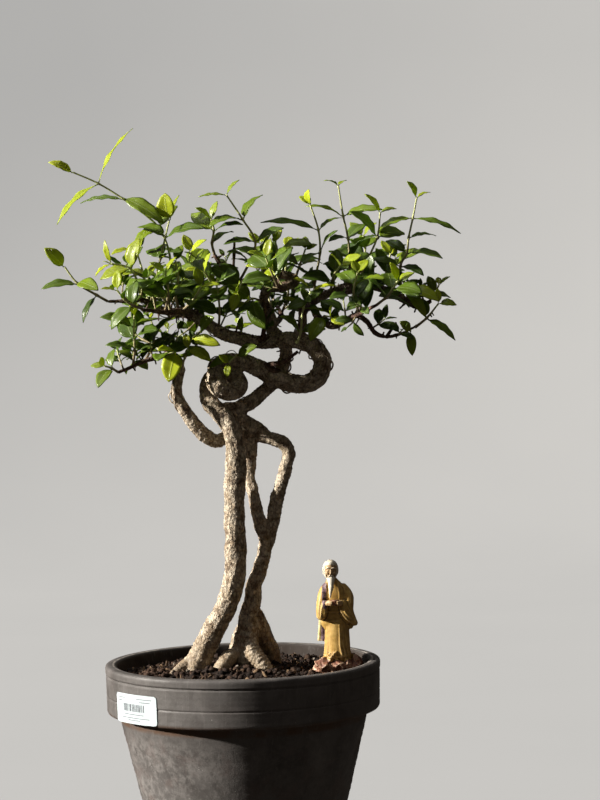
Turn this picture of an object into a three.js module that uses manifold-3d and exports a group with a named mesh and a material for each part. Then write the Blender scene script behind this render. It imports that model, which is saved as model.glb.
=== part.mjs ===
// A Barbados cherry bonsai in its clay pot. Millimetres, +Z up. The origin is the middle of the
// pot's underside, and -Y is the side that the tree is looked at from.
//
// The pot holds potting soil. The woody stems stand in plain holes in the soil, and every leafy
// shoot starts just off the wood that carries it. A small clay figure stands on the soil, and a
// blank paper label is stuck to the pot's rim band.

import * as THREE from 'three';
import Module from 'manifold-3d';
import { mergeVertices } from 'three/addons/utils/BufferGeometryUtils.js';

const wasm = await Module();
wasm.setup();

// Driving dimensions
const POT_HEIGHT = 224;
const RIM_RADIUS = 125;
const BAND_HEIGHT = 43;
const FOOT_RADIUS = 70;
const WALL = 9;
const FLOOR = 9;
const BODY_TOP_RADIUS = 113.6;
const BAND_FLARE = 0.7;
const SHOULDER_RADIUS = 104.5;
const MOUTH_RADIUS = 113.5;
const POT_SIDES = 28;
const DRAIN_RADIUS = 7;
const DRAIN_CIRCLE = 34;
const DRAIN_HOLES = 4;
const GAP = 0.4;
const SOIL_EDGE_LEVEL = 212.5;
const MOUND_HEIGHT = 8;
const MOUND_SPREAD = 48;
const MOUND_AT = [-15, -8];
const BLADE_THICKNESS = 0.7;
const LABEL_SIZE = [57, 25.5];
const LABEL_THICKNESS = 0.6;
const LABEL_ANGLE = 222;
const LABEL_LEVEL = 194.8;
const LABEL_TILT = -1;
const LABEL_CORNER = 2.5;
const FIGURE_AT = [84, -15, 212];

const COLOURS = {
  pot: [0x4a423d, 0.85],
  soil: [0x2c211b, 0.95],
  wood: [0x8a745a, 0.85],
  leaf: [0x3f6b1c, 0.45],
  young_leaf: [0x8fb324, 0.45],
  figurine: [0xb98a35, 0.5],
  label: [0xe8eef2, 0.6],
};

const X = new THREE.Vector3(1, 0, 0);
const Z = new THREE.Vector3(0, 0, 1);
const radians = THREE.MathUtils.degToRad;
const vector = ([x, y, z]) => new THREE.Vector3(x, y, z);

// A repeatable source of numbers from 0 to 1.
function random(seed) {
  let state = seed * 7919 + 17;
  return () => {
    state = (Math.imul(state, 1664525) + 1013904223) >>> 0;
    return state / 4294967296;
  };
}

// Solids

function solidOf(geometry) {
  const bare = new THREE.BufferGeometry();
  bare.setAttribute('position', geometry.getAttribute('position'));
  bare.setIndex(geometry.getIndex());
  const merged = mergeVertices(bare, 1e-4);
  return solidFrom(merged.attributes.position.array, merged.index.array);
}

function solidFrom(positions, triangles) {
  const mesh = new wasm.Mesh({
    numProp: 3,
    vertProperties: new Float32Array(positions),
    triVerts: new Uint32Array(triangles),
  });
  return new wasm.Manifold(mesh);
}

function unite(solids) {
  return solids.reduce((joined, solid) => joined.add(solid));
}

function largestBody(solid) {
  const bodies = solid.decompose();
  return bodies.reduce((most, body) => (body.volume() > most.volume() ? body : most));
}

function meshOf(name, solid, colour) {
  const { numProp, numVert, vertProperties, triVerts } = solid.getMesh();
  const positions = new Float32Array(numVert * 3);
  for (let i = 0; i < numVert; i++) {
    positions.set(vertProperties.subarray(i * numProp, i * numProp + 3), i * 3);
  }
  const geometry = new THREE.BufferGeometry();
  geometry.setAttribute('position', new THREE.BufferAttribute(positions, 3));
  geometry.setIndex(new THREE.BufferAttribute(new Uint32Array(triVerts), 1));
  const flat = geometry.toNonIndexed();
  flat.computeVertexNormals();
  const [hex, roughness] = COLOURS[colour];
  const material = new THREE.MeshStandardMaterial({ color: hex, roughness, metalness: 0 });
  const mesh = new THREE.Mesh(flat, material);
  mesh.name = name;
  return mesh;
}

// A closed solid through rings of points that all have the same count, listed from one end to
// the other. Each ring runs anticlockwise as seen from the far end.
function loft(rings) {
  const sides = rings[0].length;
  const positions = rings.flat().flatMap((p) => [p.x, p.y, p.z]);
  const triangles = [];
  for (let i = 0; i + 1 < rings.length; i++) {
    for (let k = 0; k < sides; k++) {
      const a = i * sides + k;
      const b = i * sides + ((k + 1) % sides);
      triangles.push(a, b, b + sides, a, b + sides, a + sides);
    }
  }
  const last = (rings.length - 1) * sides;
  for (let k = 1; k + 1 < sides; k++) {
    triangles.push(0, k + 1, k, last, last + k, last + k + 1);
  }
  return solidFrom(positions, triangles);
}

// A smooth limb along points [x, y, z, radius], with slightly uneven bark. grow makes it that
// much thicker and longer.
function limb(route, { sides, step, grow = 0, relief = 0 }) {
  const curve = new THREE.CatmullRomCurve3(route.map(vector), false, 'centripetal');
  const count = Math.max(2, Math.round(curve.getLength() / step));
  const { tangents, normals, binormals } = curve.computeFrenetFrames(count);
  const rings = [];
  for (let i = 0; i <= count; i++) {
    const t = curve.getUtoTmapping(i / count);
    const along = t * (route.length - 1);
    const from = Math.min(Math.floor(along), route.length - 2);
    const plain = THREE.MathUtils.lerp(route[from][3], route[from + 1][3], along - from);
    const centre = curve.getPoint(t);
    if (i === 0) centre.addScaledVector(tangents[0], -grow);
    if (i === count) centre.addScaledVector(tangents[count], grow);
    const ring = [];
    for (let k = 0; k < sides; k++) {
      const angle = (k / sides) * 2 * Math.PI;
      const radius = plain * (1 + relief * Math.sin(1.7 * i + 2.3 * k)) + grow;
      ring.push(centre.clone()
        .addScaledVector(normals[i], Math.cos(angle) * radius)
        .addScaledVector(binormals[i], Math.sin(angle) * radius));
    }
    rings.push(ring);
  }
  return loft(rings);
}

// Pot

const BAND_BOTTOM = POT_HEIGHT - BAND_HEIGHT;

// The rim band's outer radius at a height.
function bandRadius(height) {
  const top = RIM_RADIUS - 0.6;
  return THREE.MathUtils.mapLinear(height, BAND_BOTTOM, POT_HEIGHT - 8, top - BAND_FLARE, top);
}

// The radius inside the pot at a height.
function innerRadius(height) {
  if (height < BAND_BOTTOM) {
    return THREE.MathUtils.mapLinear(height, FLOOR, BAND_BOTTOM, FOOT_RADIUS - WALL - 1, SHOULDER_RADIUS);
  }
  return THREE.MathUtils.mapLinear(height, BAND_BOTTOM, POT_HEIGHT - 3, SHOULDER_RADIUS, MOUTH_RADIUS);
}

function lathe(profile) {
  const points = profile.map(([r, z]) => new THREE.Vector2(r, z));
  return solidOf(new THREE.LatheGeometry(points, POT_SIDES).rotateX(Math.PI / 2));
}

function makePot() {
  const body = lathe([
    [0, 0],
    [FOOT_RADIUS - 3, 0],
    [FOOT_RADIUS, 2.5],
    [BODY_TOP_RADIUS, BAND_BOTTOM],
    [bandRadius(BAND_BOTTOM) - 1.5, BAND_BOTTOM],
    [bandRadius(BAND_BOTTOM + 2.5), BAND_BOTTOM + 2.5],
    [bandRadius(POT_HEIGHT - 10), POT_HEIGHT - 10],
    [RIM_RADIUS, POT_HEIGHT - 8],
    [RIM_RADIUS, POT_HEIGHT - 2],
    [RIM_RADIUS - 2, POT_HEIGHT],
    [RIM_RADIUS - 9.5, POT_HEIGHT],
    [innerRadius(POT_HEIGHT - 3), POT_HEIGHT - 3],
    [innerRadius(BAND_BOTTOM), BAND_BOTTOM],
    [innerRadius(FLOOR), FLOOR],
    [0, FLOOR],
  ]);
  const holes = [];
  for (let i = 0; i < DRAIN_HOLES; i++) {
    const angle = ((i + 0.5) / DRAIN_HOLES) * 2 * Math.PI;
    const hole = new THREE.CylinderGeometry(DRAIN_RADIUS, DRAIN_RADIUS, 3 * FLOOR, 12);
    hole.rotateX(Math.PI / 2);
    hole.translate(DRAIN_CIRCLE * Math.cos(angle), DRAIN_CIRCLE * Math.sin(angle), FLOOR / 2);
    holes.push(solidOf(hole));
  }
  return body.subtract(unite(holes));
}

// A paper label that follows the rim band, with rounded corners.
function makeLabel() {
  const band = (grow) => lathe([
    [0, BAND_BOTTOM],
    [bandRadius(BAND_BOTTOM) + grow, BAND_BOTTOM],
    [bandRadius(POT_HEIGHT - 10) + grow, POT_HEIGHT - 10],
    [0, POT_HEIGHT - 10],
  ]);
  const [width, height] = LABEL_SIZE;
  const corner = LABEL_CORNER;
  const outline = new THREE.Shape();
  outline.absarc(width / 2 - corner, height / 2 - corner, corner, 0, Math.PI / 2);
  outline.absarc(corner - width / 2, height / 2 - corner, corner, Math.PI / 2, Math.PI);
  outline.absarc(corner - width / 2, corner - height / 2, corner, Math.PI, 1.5 * Math.PI);
  outline.absarc(width / 2 - corner, corner - height / 2, corner, 1.5 * Math.PI, 2 * Math.PI);
  const cutter = new THREE.ExtrudeGeometry(outline, { depth: 40, bevelEnabled: false, curveSegments: 2 });
  cutter.rotateZ(radians(-LABEL_TILT));
  cutter.translate(0, 0, RIM_RADIUS - 25);
  cutter.rotateX(Math.PI / 2);
  cutter.rotateZ(radians(LABEL_ANGLE + 90));
  cutter.translate(0, 0, LABEL_LEVEL);
  const sheet = band(LABEL_THICKNESS + GAP).subtract(band(GAP));
  return largestBody(sheet.intersect(solidOf(cutter)));
}

// Wood. Each limb is a list of points [x, y, z, radius] along its middle.

const LIMBS = [
  {
    // The thick left stem: up from the soil, once round in a tight coil, through the big loop
    // on the right, and out to the left as the main bough.
    sides: 8,
    step: 13,
    route: [
      [-49, -5, 199, 9], [-45, -6, 211, 12.4], [-40, -7, 224, 11.6],
      [-33, -8, 239, 11], [-24, -10, 256, 10.4], [-14, -12, 274, 9.8], [-6, -14, 297, 10],
      [-4, -15, 323, 10], [-4, -16, 350, 9.5], [-4, -17, 376, 9.5], [-2, -18, 399, 9.8],
      [-2, -20, 418, 8.6], [-5, -20, 433, 8.1], [-12, -15, 445, 8.1], [-21, -8, 454, 8.1],
      [-26, -1, 463, 8.2], [-26, 4, 474, 8.2], [-20, 6, 483, 8.2], [-9, 2, 485, 8.2],
      [0, -4, 480, 8.2], [2, -12, 472, 8.1], [-6, -19, 468, 8.1], [-15, -22, 472, 8.1],
      [-19, -18, 481, 7.7], [-18, -10, 491, 7.7], [-10, -3, 496, 7.7], [3, 0, 496, 7.7],
      [19, 1, 490, 8.2], [34, 0, 481, 8.7], [50, -1, 475, 8.6], [66, -1, 475, 8.6],
      [76, 0, 484, 8.4], [78, 2, 497, 8.4], [69, 5, 509, 8.2], [56, 9, 514, 7.8],
      [40, 12, 515, 7.3], [23, 12, 513, 6.4], [8, 10, 516, 6.2], [-9, 7, 520, 5.9],
      [-25, 2, 530, 5.5], [-41, -4, 540, 4.8],
    ],
  },
  {
    // The left bough's thin outer end.
    sides: 5,
    step: 11,
    route: [
      [-34, -2, 536, 4.6], [-41, -4, 540, 4.6], [-57, -8, 541, 4.1], [-71, -12, 546, 3.6],
      [-84, -15, 553, 2.7], [-100, -17, 552, 2], [-114, -18, 552, 1.6],
    ],
  },
  {
    // The middle stem: out of its root flare, up beside the left stem and behind it.
    sides: 7,
    step: 13.5,
    route: [
      [4, -2, 202, 9], [4, -3, 218, 11], [4, -3, 236, 11], [5, -2, 251, 9.8],
      [6, 0, 265, 8.4], [10, 0, 277, 8.2], [11, 0, 289, 7.7], [15, 0, 300, 7.1],
      [19, 1, 312, 6.8], [22, 2, 323, 6.6], [23, 1, 332, 6.4], [20, -2, 343, 6.4],
      [17, -3, 355, 5.9], [14, -2, 369, 5.5], [11, 1, 382, 5.5], [9, 6, 393, 5.5],
      [10, 9, 404, 6], [11, 10, 415, 6.4], [10, 9, 426, 6.4], [5, 4, 438, 6.4],
      [-1, 0, 449, 6.4],
    ],
  },
  {
    // The stem that slants up behind the big loop, and the small coil in the crown.
    sides: 6,
    step: 11,
    route: [
      [-14, -8, 452, 6.8], [0, 0, 453, 6.8], [13, 6, 459, 6.9], [24, 10, 468, 6.6],
      [35, 14, 479, 6.4], [43, 18, 493, 6], [45, 20, 506, 5.8], [39, 18, 517, 5.5],
      [32, 14, 528, 5.1], [30, 8, 541, 4.6], [26, 2, 552, 4.3], [30, -6, 561, 4.3],
      [43, -11, 562, 4.3], [53, -6, 565, 4.3], [55, 2, 570, 4.1], [45, 7, 574, 4.1],
      [28, 7, 574, 3.9], [14, 2, 571, 3.6], [3, -6, 566, 3.2], [-6, -12, 571, 2.7],
      [-11, -16, 580, 2.3], [-17, -18, 592, 1.8],
    ],
  },
  {
    // The right stem: from the middle stem's fork to a sharp elbow, behind the left stem, and
    // up again on the far left.
    sides: 6,
    step: 12.5,
    route: [
      [24, 2, 328, 6.2], [28, 4, 341, 6.2], [31, 4, 354, 6.4], [34, 4, 369, 6.4],
      [38, 4, 382, 5.9], [43, 4, 399, 5.9], [46, 4, 412, 6.2], [41, 4, 421, 6.2],
      [32, 5, 424, 5.9], [22, 7, 427, 5.9], [13, 10, 432, 6], [1, 13, 432, 6.4],
      [-11, 10, 427, 6.4], [-21, 4, 424, 6.4], [-31, 0, 430, 6.4], [-42, -2, 443, 6.1],
      [-50, -3, 456, 5.7], [-55, -4, 468, 5.5], [-54, -4, 480, 5.2], [-51, -4, 491, 5],
    ],
  },
  {
    // The low left bough.
    sides: 5,
    step: 11,
    route: [
      [-51, -4, 488, 4.4], [-53, -5, 499, 3.9], [-60, -7, 503, 3.2], [-71, -10, 501, 2.5],
      [-82, -13, 498, 2], [-93, -16, 493, 1.7], [-106, -18, 488, 1.4],
    ],
  },
  {
    // A short strand that ties the right stem to the left stem's shoulder.
    sides: 6,
    step: 10,
    route: [[26, 7, 427, 5.2], [17, 7, 435, 5.6], [8, 3, 441, 5.6], [-1, -4, 446, 5.4]],
  },
  {
    // The right bough, with its dip.
    sides: 5,
    step: 11,
    route: [
      [56, 9, 512, 5], [61, 2, 531, 4.1], [63, -3, 545, 3.8], [70, -5, 543, 3.6],
      [76, -7, 533, 3.6], [88, -8, 526, 3.4], [101, -9, 531, 3.2], [110, -10, 535, 2.9],
      [119, -11, 529, 2.5], [126, -11, 519, 2.3], [136, -11, 515, 1.8], [148, -10, 517, 1.6],
      [158, -9, 521, 1.4], [169, -10, 528, 1.2], [178, -12, 536, 1],
    ],
  },
  {
    // The upper right bough.
    sides: 5,
    step: 12,
    route: [
      [63, -3, 543, 4], [76, 4, 552, 4.1], [92, 8, 559, 3.9], [111, 8, 564, 3.7],
      [133, 6, 560, 3.7], [149, 2, 552, 3.6], [158, -2, 546, 3.2], [168, -5, 542, 2.5],
      [178, -7, 547, 1.8],
    ],
  },
  // Roots: to the right in front, to the right behind, to the left behind, and the knobbly one
  // between the two stems.
  {
    sides: 7,
    step: 9,
    route: [[5, -6, 243, 7.4], [10, -11, 231, 8], [18, -15, 222, 7.4], [28, -18, 205, 5]],
  },
  {
    sides: 6,
    step: 12,
    route: [[10, 3, 272, 5.4], [15, 8, 258, 7.6], [19, 12, 244, 8.4], [25, 17, 230, 8], [32, 22, 205, 5]],
  },
  { sides: 5, step: 12, route: [[2, 4, 256, 5.4], [-4, 8, 244, 6], [-8, 12, 230, 5.6], [-13, 16, 206, 4]] },
  {
    sides: 7,
    step: 9,
    route: [[-4, -4, 232, 5], [-13, -12, 227, 7.5], [-21, -18, 215, 7], [-25, -22, 203, 4.6]],
  },
  { sides: 5, step: 10, route: [[-46, -8, 226, 6], [-58, -14, 218, 4.4], [-70, -20, 208, 3]] },
  // Stubs of old cuts, and a bare twig in the crown.
  { sides: 5, step: 6, route: [[136, -11, 514, 1.6], [141, -8, 521, 1.4], [146, -6, 528, 1.1]] },
  { sides: 5, step: 7, route: [[30, -2, 492, 3], [42, -12, 494, 2.2], [56, -18, 503, 1.5]] },
  { sides: 4, step: 9, route: [[-2, -9, 568, 1.6], [0, -12, 586, 1.4], [1, -13, 608, 1.1]] },
  {
    sides: 5,
    step: 7,
    route: [[24, 10, 514, 2.4], [26, -2, 527, 2], [27, -8, 543, 1.8], [25, -8, 553, 1.6]],
  },
  // Boughs to the back and to the front.
  {
    sides: 4,
    step: 18,
    route: [[-25, 2, 530, 4.2], [-33, 28, 536, 3.4], [-48, 56, 541, 2.6], [-66, 78, 550, 1.5]],
  },
  {
    sides: 4,
    step: 18,
    route: [[-41, -4, 540, 3.6], [-47, -32, 541, 3], [-60, -58, 539, 2.2], [-77, -78, 541, 1.4]],
  },
  {
    sides: 4,
    step: 18,
    route: [[32, 14, 528, 4], [37, 44, 533, 3.2], [41, 74, 541, 2.4], [35, 98, 553, 1.4]],
  },
  {
    sides: 4,
    step: 18,
    route: [[92, 8, 559, 3.2], [103, 36, 559, 2.6], [121, 60, 563, 2], [138, 78, 570, 1.3]],
  },
  {
    sides: 4,
    step: 18,
    route: [[88, -8, 526, 3], [97, -35, 529, 2.5], [111, -58, 534, 2], [126, -76, 541, 1.3]],
  },
  { sides: 4, step: 18, route: [[43, -11, 562, 3.4], [45, -38, 559, 2.7], [40, -64, 560, 1.8]] },
  { sides: 4, step: 18, route: [[-53, -5, 499, 3], [-62, 22, 506, 2.3], [-78, 46, 514, 1.5]] },
];
const BARK_RELIEF = 0.06;

function makeWood(grow) {
  const limbs = LIMBS.map(({ route, sides, step }) => (
    limb(route, { sides, step, grow, relief: BARK_RELIEF })
  ));
  return unite(limbs);
}

// Soil: a mound of lumps that fills the pot to just under the rim.

const SOIL_RINGS = [0.8, 0.55, 0.3];
const LUMP_HEIGHT = 2.6;

function soilLevel(x, y) {
  const [mx, my] = MOUND_AT;
  const distance = Math.hypot(x - mx, y - my);
  const mound = MOUND_HEIGHT * Math.exp(-((distance / MOUND_SPREAD) ** 2) / 2);
  const lumps = Math.sin(0.21 * x + 1.3) * Math.sin(0.19 * y + 0.4) * 1.2;
  return SOIL_EDGE_LEVEL + 0.015 * x + mound + lumps;
}

function makeSoil() {
  const draw = random(5);
  const ring = (radius, level) => {
    const points = [];
    for (let k = 0; k < POT_SIDES; k++) {
      const angle = (k / POT_SIDES) * 2 * Math.PI;
      const x = radius * Math.sin(angle);
      const y = -radius * Math.cos(angle);
      points.push(new THREE.Vector3(x, y, level(x, y)));
    }
    return points;
  };
  const bottom = FLOOR + GAP;
  const edge = innerRadius(SOIL_EDGE_LEVEL - 3) - GAP;
  const rings = [
    ring(innerRadius(bottom) - GAP, () => bottom),
    ring(innerRadius(BAND_BOTTOM) - 2 * GAP, () => BAND_BOTTOM),
    ring(edge, (x, y) => soilLevel(x, y) - 1.5),
  ];
  for (const share of SOIL_RINGS) {
    const drift = (draw() - 0.5) * 2;
    rings.push(ring(edge * share + drift, (x, y) => soilLevel(x, y) + (draw() - 0.5) * LUMP_HEIGHT));
  }
  return loft(rings);
}

// Clay figure: an old man in a wide-sleeved robe on a rock, moulded in one piece. Sections are
// [x, y, z, half width, half depth], in the figure's own frame, facing -Y.

const FIGURE_PARTS = {
  rock: [[1, 0, 0, 19, 15], [1, 0, 5, 20.5, 16], [1, 1, 10, 16.5, 13], [0, 1, 15, 11.5, 10]],
  robe: [[1, 1, 12, 11.6, 10], [1, 1, 22, 10.8, 9.2], [1, 1, 36, 10.6, 9], [1, 1, 50, 11, 9]],
  coat: [
    [2.6, 2.5, 41, 14.5, 7.6], [2.2, 2, 46, 15.6, 9], [1.8, 1.5, 56, 15.6, 9.6], [1.4, 1, 66, 15.4, 9.6],
    [1, 0.8, 73, 14, 9], [0.4, 0.6, 79, 9.6, 7.4], [-1, 0, 84, 5.6, 5.4], [-2, -0.5, 88, 3.6, 3.8],
  ],
  leftSleeve: [
    [-12, -4, 43, 3, 5], [-12.6, -4, 50, 4.2, 6.4], [-12, -3, 61, 4.8, 6.6], [-9.5, -1, 72, 4.4, 5.6],
  ],
  rightSleeve: [
    [19, -2, 42, 2.4, 5], [17.4, -2.4, 49, 4.2, 6.6], [14.4, -2, 60, 4.6, 6.6], [11.5, -1, 71, 4, 5.4],
  ],
  hem: [[-15, -2, 23, 2.4, 1.8], [-14, -3, 34, 2.8, 2], [-12, -4, 48, 3, 2.4]],
  hands: [[-9, -8, 60, 3, 3], [-5, -11, 62, 4, 3.8], [2, -11.4, 63, 4.4, 3.8], [8, -8, 62, 4, 3.4]],
  head: [
    [-3, -1, 83, 3.2, 3.4], [-3, -1.5, 86, 5.2, 5.6], [-3, -1.2, 91, 6.3, 6.6], [-3, -0.8, 96, 6, 6.4],
    [-3, -0.4, 100, 3.4, 3.8],
  ],
  nose: [[-3, -7, 89.6, 1.3, 1.4], [-3, -7.4, 90.4, 1.2, 1.5], [-3, -6.6, 93.4, 0.8, 1]],
  beard: [
    [-1.8, -9.6, 67, 1, 1], [-2.2, -9.4, 72, 2.4, 1.8], [-2.6, -7.8, 80, 3.4, 2.4], [-3, -5.5, 87, 3.6, 3],
  ],
};
const FIGURE_SIDES = { rock: 11, robe: 10, coat: 12, head: 10, nose: 4, hem: 5, beard: 6 };
const ROCK_UNEVENNESS = 0.1;

// A closed solid through flat oval sections. Sideways ones, such as the hands, lie across X.
function ovals(sections, sides, { across = false, grow = 0, uneven = 0 } = {}) {
  const draw = random(11);
  const rings = sections.map(([x, y, z, width, depth]) => {
    const ring = [];
    for (let k = 0; k < sides; k++) {
      const angle = (k / sides) * 2 * Math.PI;
      const reach = 1 + uneven * (2 * draw() - 1);
      const u = Math.cos(angle) * (width + grow) * reach;
      const v = Math.sin(angle) * (depth + grow) * reach;
      ring.push(across ? new THREE.Vector3(x, y + u, z + v) : new THREE.Vector3(x + u, y + v, z));
    }
    return ring;
  });
  return loft(rings);
}

function makeFigure() {
  const parts = Object.entries(FIGURE_PARTS).map(([name, sections]) => ovals(
    sections,
    FIGURE_SIDES[name] ?? 8,
    { across: name === 'hands', uneven: name === 'rock' ? ROCK_UNEVENNESS : 0 },
  ));
  return unite(parts).translate(FIGURE_AT);
}

// The plain hole in the soil that the figure's rock stands in.
function makeFigureSocket() {
  const [foot] = FIGURE_PARTS.rock;
  const sections = [[...foot], [...foot]];
  sections[0][2] = -GAP;
  sections[1][2] = 20;
  return ovals(sections, FIGURE_SIDES.rock, { grow: 4 }).translate(FIGURE_AT);
}

// Leafy shoots. Each has its stem's points, the length of its full-grown leaves, and the turn
// of its first pair of leaves. The pairs sit evenly from first to the stem's tip, or else at the
// stem points that at lists. aims holds, by pair, the leaves that reach a chosen point
// [x, y, z, width] with their tip.

const SHOOTS = [
  // Left side, as seen from the front
  {
    name: 'left_01', leaf: 30, turn: 0, at: [1, 2, 3],
    stem: [[-114, -18, 552], [-124, -18, 558], [-141, -20, 569], [-152, -22, 584]],
    aims: {
      0: [[-136, -26, 533, 8], [-145, -4, 557, 10]],
      1: [[-172, -30, 564, 12], [-120, -40, 561, 12]],
      2: [[-169, -26, 601, 12], [-159, -36, 575, 7]],
    },
  },
  {
    name: 'left_02', leaf: 36, turn: 30, at: [1, 2, 3, 4],
    stem: [[-71, -12, 546], [-72, -14, 563], [-66, -16, 590], [-61, -18, 609], [-57, -20, 624]],
    aims: { 2: [[-24, -34, 615, 14]], 3: [[-60, -24, 648, 15], [-48, -14, 647, 4]] },
  },
  {
    name: 'left_03', leaf: 34, turn: 40, at: [3, 5, 6, 7], young: true,
    stem: [
      [-61, -9, 542], [-58, 6, 567], [-60, 6, 599], [-68, 0, 619], [-79, -8, 630], [-99, -12, 645],
      [-121, -16, 659], [-143, -20, 669],
    ],
    aims: {
      1: [[-139, 0, 643, 6], [-61, -28, 620, 13]],
      2: [[-89, -8, 709, 6], [-157, -30, 621, 7]],
      3: [[-164, -24, 678, 8], [-153, -34, 661, 8]],
    },
  },
  {
    name: 'left_04', leaf: 32, turn: 20, at: [2, 3], young: true,
    stem: [[-84, -15, 553], [-86, -22, 567], [-93, -26, 581], [-109, -34, 585]],
    aims: { 1: [[-114, -34, 606, 5], [-122, -46, 573, 4]] },
  },
  {
    name: 'left_05', pairs: 3, leaf: 29, first: 0.4, turn: 50,
    stem: [[-100, -17, 552], [-94, -6, 563], [-98, 2, 575], [-107, 6, 584]],
  },
  {
    name: 'left_06', pairs: 2, leaf: 28, first: 0.5, turn: 80,
    stem: [[-106, -18, 488], [-112, -23, 492], [-118, -26, 494]],
  },
  {
    name: 'left_07', pairs: 4, leaf: 32, first: 0.3, turn: 25,
    stem: [[-93, -16, 493], [-91, -18, 508], [-91, -20, 524], [-90, -24, 539]],
  },
  {
    name: 'left_08', pairs: 3, leaf: 30, first: 0.4, turn: 70,
    stem: [[-82, -13, 498], [-76, -6, 511], [-74, 0, 524], [-78, 4, 537]],
  },
  {
    name: 'left_09', leaf: 30, turn: 20, at: [1, 2],
    stem: [[-71, -10, 501], [-63, -18, 504], [-54, -24, 505]],
    aims: { 1: [[-68, -44, 506, 9], [-60, -32, 478, 16]] },
  },
  {
    name: 'left_10', leaf: 28, turn: 40, at: [1, 2],
    stem: [[-51, -4, 488], [-46, -14, 500], [-42, -19, 508]],
    aims: { 1: [[-22, -30, 496, 11]] },
  },
  {
    name: 'left_11', leaf: 28, turn: 75, at: [1, 2],
    stem: [[-25, 2, 530], [-32, -10, 523], [-39, -18, 517]],
    aims: { 1: [[-13, -30, 510, 10]] },
  },
  {
    name: 'left_12', pairs: 3, leaf: 33, first: 0.35, turn: 35,
    stem: [[-50, -6, 541], [-53, -16, 557], [-50, -22, 573], [-52, -26, 587]],
  },
  {
    name: 'left_13', pairs: 3, leaf: 33, first: 0.35, turn: 65,
    stem: [[-36, -2, 537], [-31, 2, 554], [-29, 4, 573], [-33, 4, 589]],
  },
  {
    name: 'left_14', leaf: 30, turn: 15, at: [1, 2], young: true,
    stem: [[-78, -14, 549], [-82, -6, 574], [-88, -8, 598]],
    aims: { 1: [[-110, -22, 594, 11]] },
  },
  {
    name: 'left_15', pairs: 3, leaf: 32, first: 0.4, turn: 10,
    stem: [[-16, 4, 524], [-14, -10, 545], [-16, -16, 566]],
  },
  {
    name: 'left_16', pairs: 2, leaf: 32, first: 0.5, turn: 55,
    stem: [[-57, -8, 541], [-62, -22, 551], [-71, -34, 561]],
  },
  // Middle
  {
    name: 'middle_01', leaf: 33, turn: 15, at: [1, 2, 3, 4],
    stem: [[3, -6, 566], [14, -12, 585], [20, -20, 603], [9, -24, 623], [-5, -27, 645]],
    aims: { 1: [[46, -28, 614, 10], [-8, -34, 600, 9]], 3: [[7, -27, 658, 5], [-30, -30, 643, 4]] },
  },
  {
    name: 'middle_02', pairs: 3, leaf: 33, first: 0.34, turn: 50,
    stem: [[-17, -18, 592], [-19, -21, 602], [-17, -24, 614], [-19, -27, 624]],
  },
  {
    name: 'middle_03', pairs: 3, leaf: 33, first: 0.4, turn: 25,
    stem: [[28, 7, 574], [28, 10, 590], [24, 12, 604]],
  },
  {
    name: 'middle_04', pairs: 3, leaf: 34, first: 0.4, turn: 60, young: true,
    stem: [[45, 7, 574], [40, 2, 589], [38, -2, 604]],
  },
  {
    name: 'middle_05', pairs: 2, leaf: 27, first: 0.5, turn: 20,
    stem: [[55, 2, 570], [60, -6, 583], [65, -10, 596]],
  },
  {
    name: 'middle_06', pairs: 2, leaf: 38, first: 0.55, turn: 0,
    stem: [[14, 2, 571], [8, -18, 568], [4, -34, 558]],
  },
  {
    name: 'middle_07', pairs: 3, leaf: 33, first: 0.4, turn: 35,
    stem: [[30, 6, 545], [18, -14, 552], [10, -28, 548]],
  },
  {
    name: 'middle_08', leaf: 32, turn: 70, at: [2, 3, 4], young: true,
    stem: [[54, 6, 514], [56, -12, 512], [59, -20, 521], [62, -24, 542], [69, -26, 557]],
    aims: {
      0: [[41, -30, 535, 12]],
      1: [[91, -30, 533, 5], [44, -22, 552, 7]],
      2: [[54, -36, 568, 11], [92, -30, 561, 8]],
    },
  },
  {
    name: 'middle_09', pairs: 2, leaf: 29, first: 0.55, turn: 10,
    stem: [[3, 0, 496], [0, -18, 500], [-6, -28, 494]],
  },
  {
    name: 'middle_10', pairs: 3, leaf: 34, first: 0.4, turn: 30,
    stem: [[-6, -12, 571], [-18, -28, 566], [-26, -40, 576]],
  },
  // Right side
  {
    name: 'right_01', leaf: 38, turn: 15, at: [1, 2, 3, 4],
    stem: [[72, -4, 546], [73, -8, 567], [78, -10, 592], [77, -12, 613], [70, -14, 636]],
    aims: {
      0: [[34, -26, 591, 9], [113, -34, 572, 15]],
      1: [[94, -26, 611, 10], [62, -30, 582, 12]],
      2: [[25, -20, 620, 8], [100, -2, 625, 8]],
      3: [[69, -20, 649, 10]],
    },
  },
  {
    name: 'right_02', leaf: 36, turn: 40, at: [1, 2, 3, 4, 5],
    stem: [[101, 8, 561], [105, 2, 572], [105, 0, 588], [104, 0, 606], [100, -2, 626], [96, -4, 654]],
    aims: {
      1: [[127, -34, 605, 16]],
      2: [[121, 16, 620, 12], [86, -16, 602, 9]],
      3: [[66, -8, 635, 9], [136, -12, 630, 10]],
      4: [[83, -14, 657, 6], [104, 4, 659, 6]],
    },
  },
  {
    name: 'right_03', leaf: 38, turn: 35, at: [1, 2, 3, 4],
    stem: [[110, -10, 535], [113, -12, 556], [116, -16, 574], [130, -18, 605], [133, -20, 627]],
    aims: { 1: [[116, -42, 547, 17]], 3: [[119, -26, 643, 7], [148, -16, 630, 5]] },
  },
  {
    name: 'right_04', leaf: 40, turn: 25, at: [2, 3, 4, 5, 6],
    stem: [
      [158, -2, 546], [155, -2, 561], [151, -3, 579], [157, -4, 591], [159, -5, 605], [163, -6, 622],
      [167, -8, 641],
    ],
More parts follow.
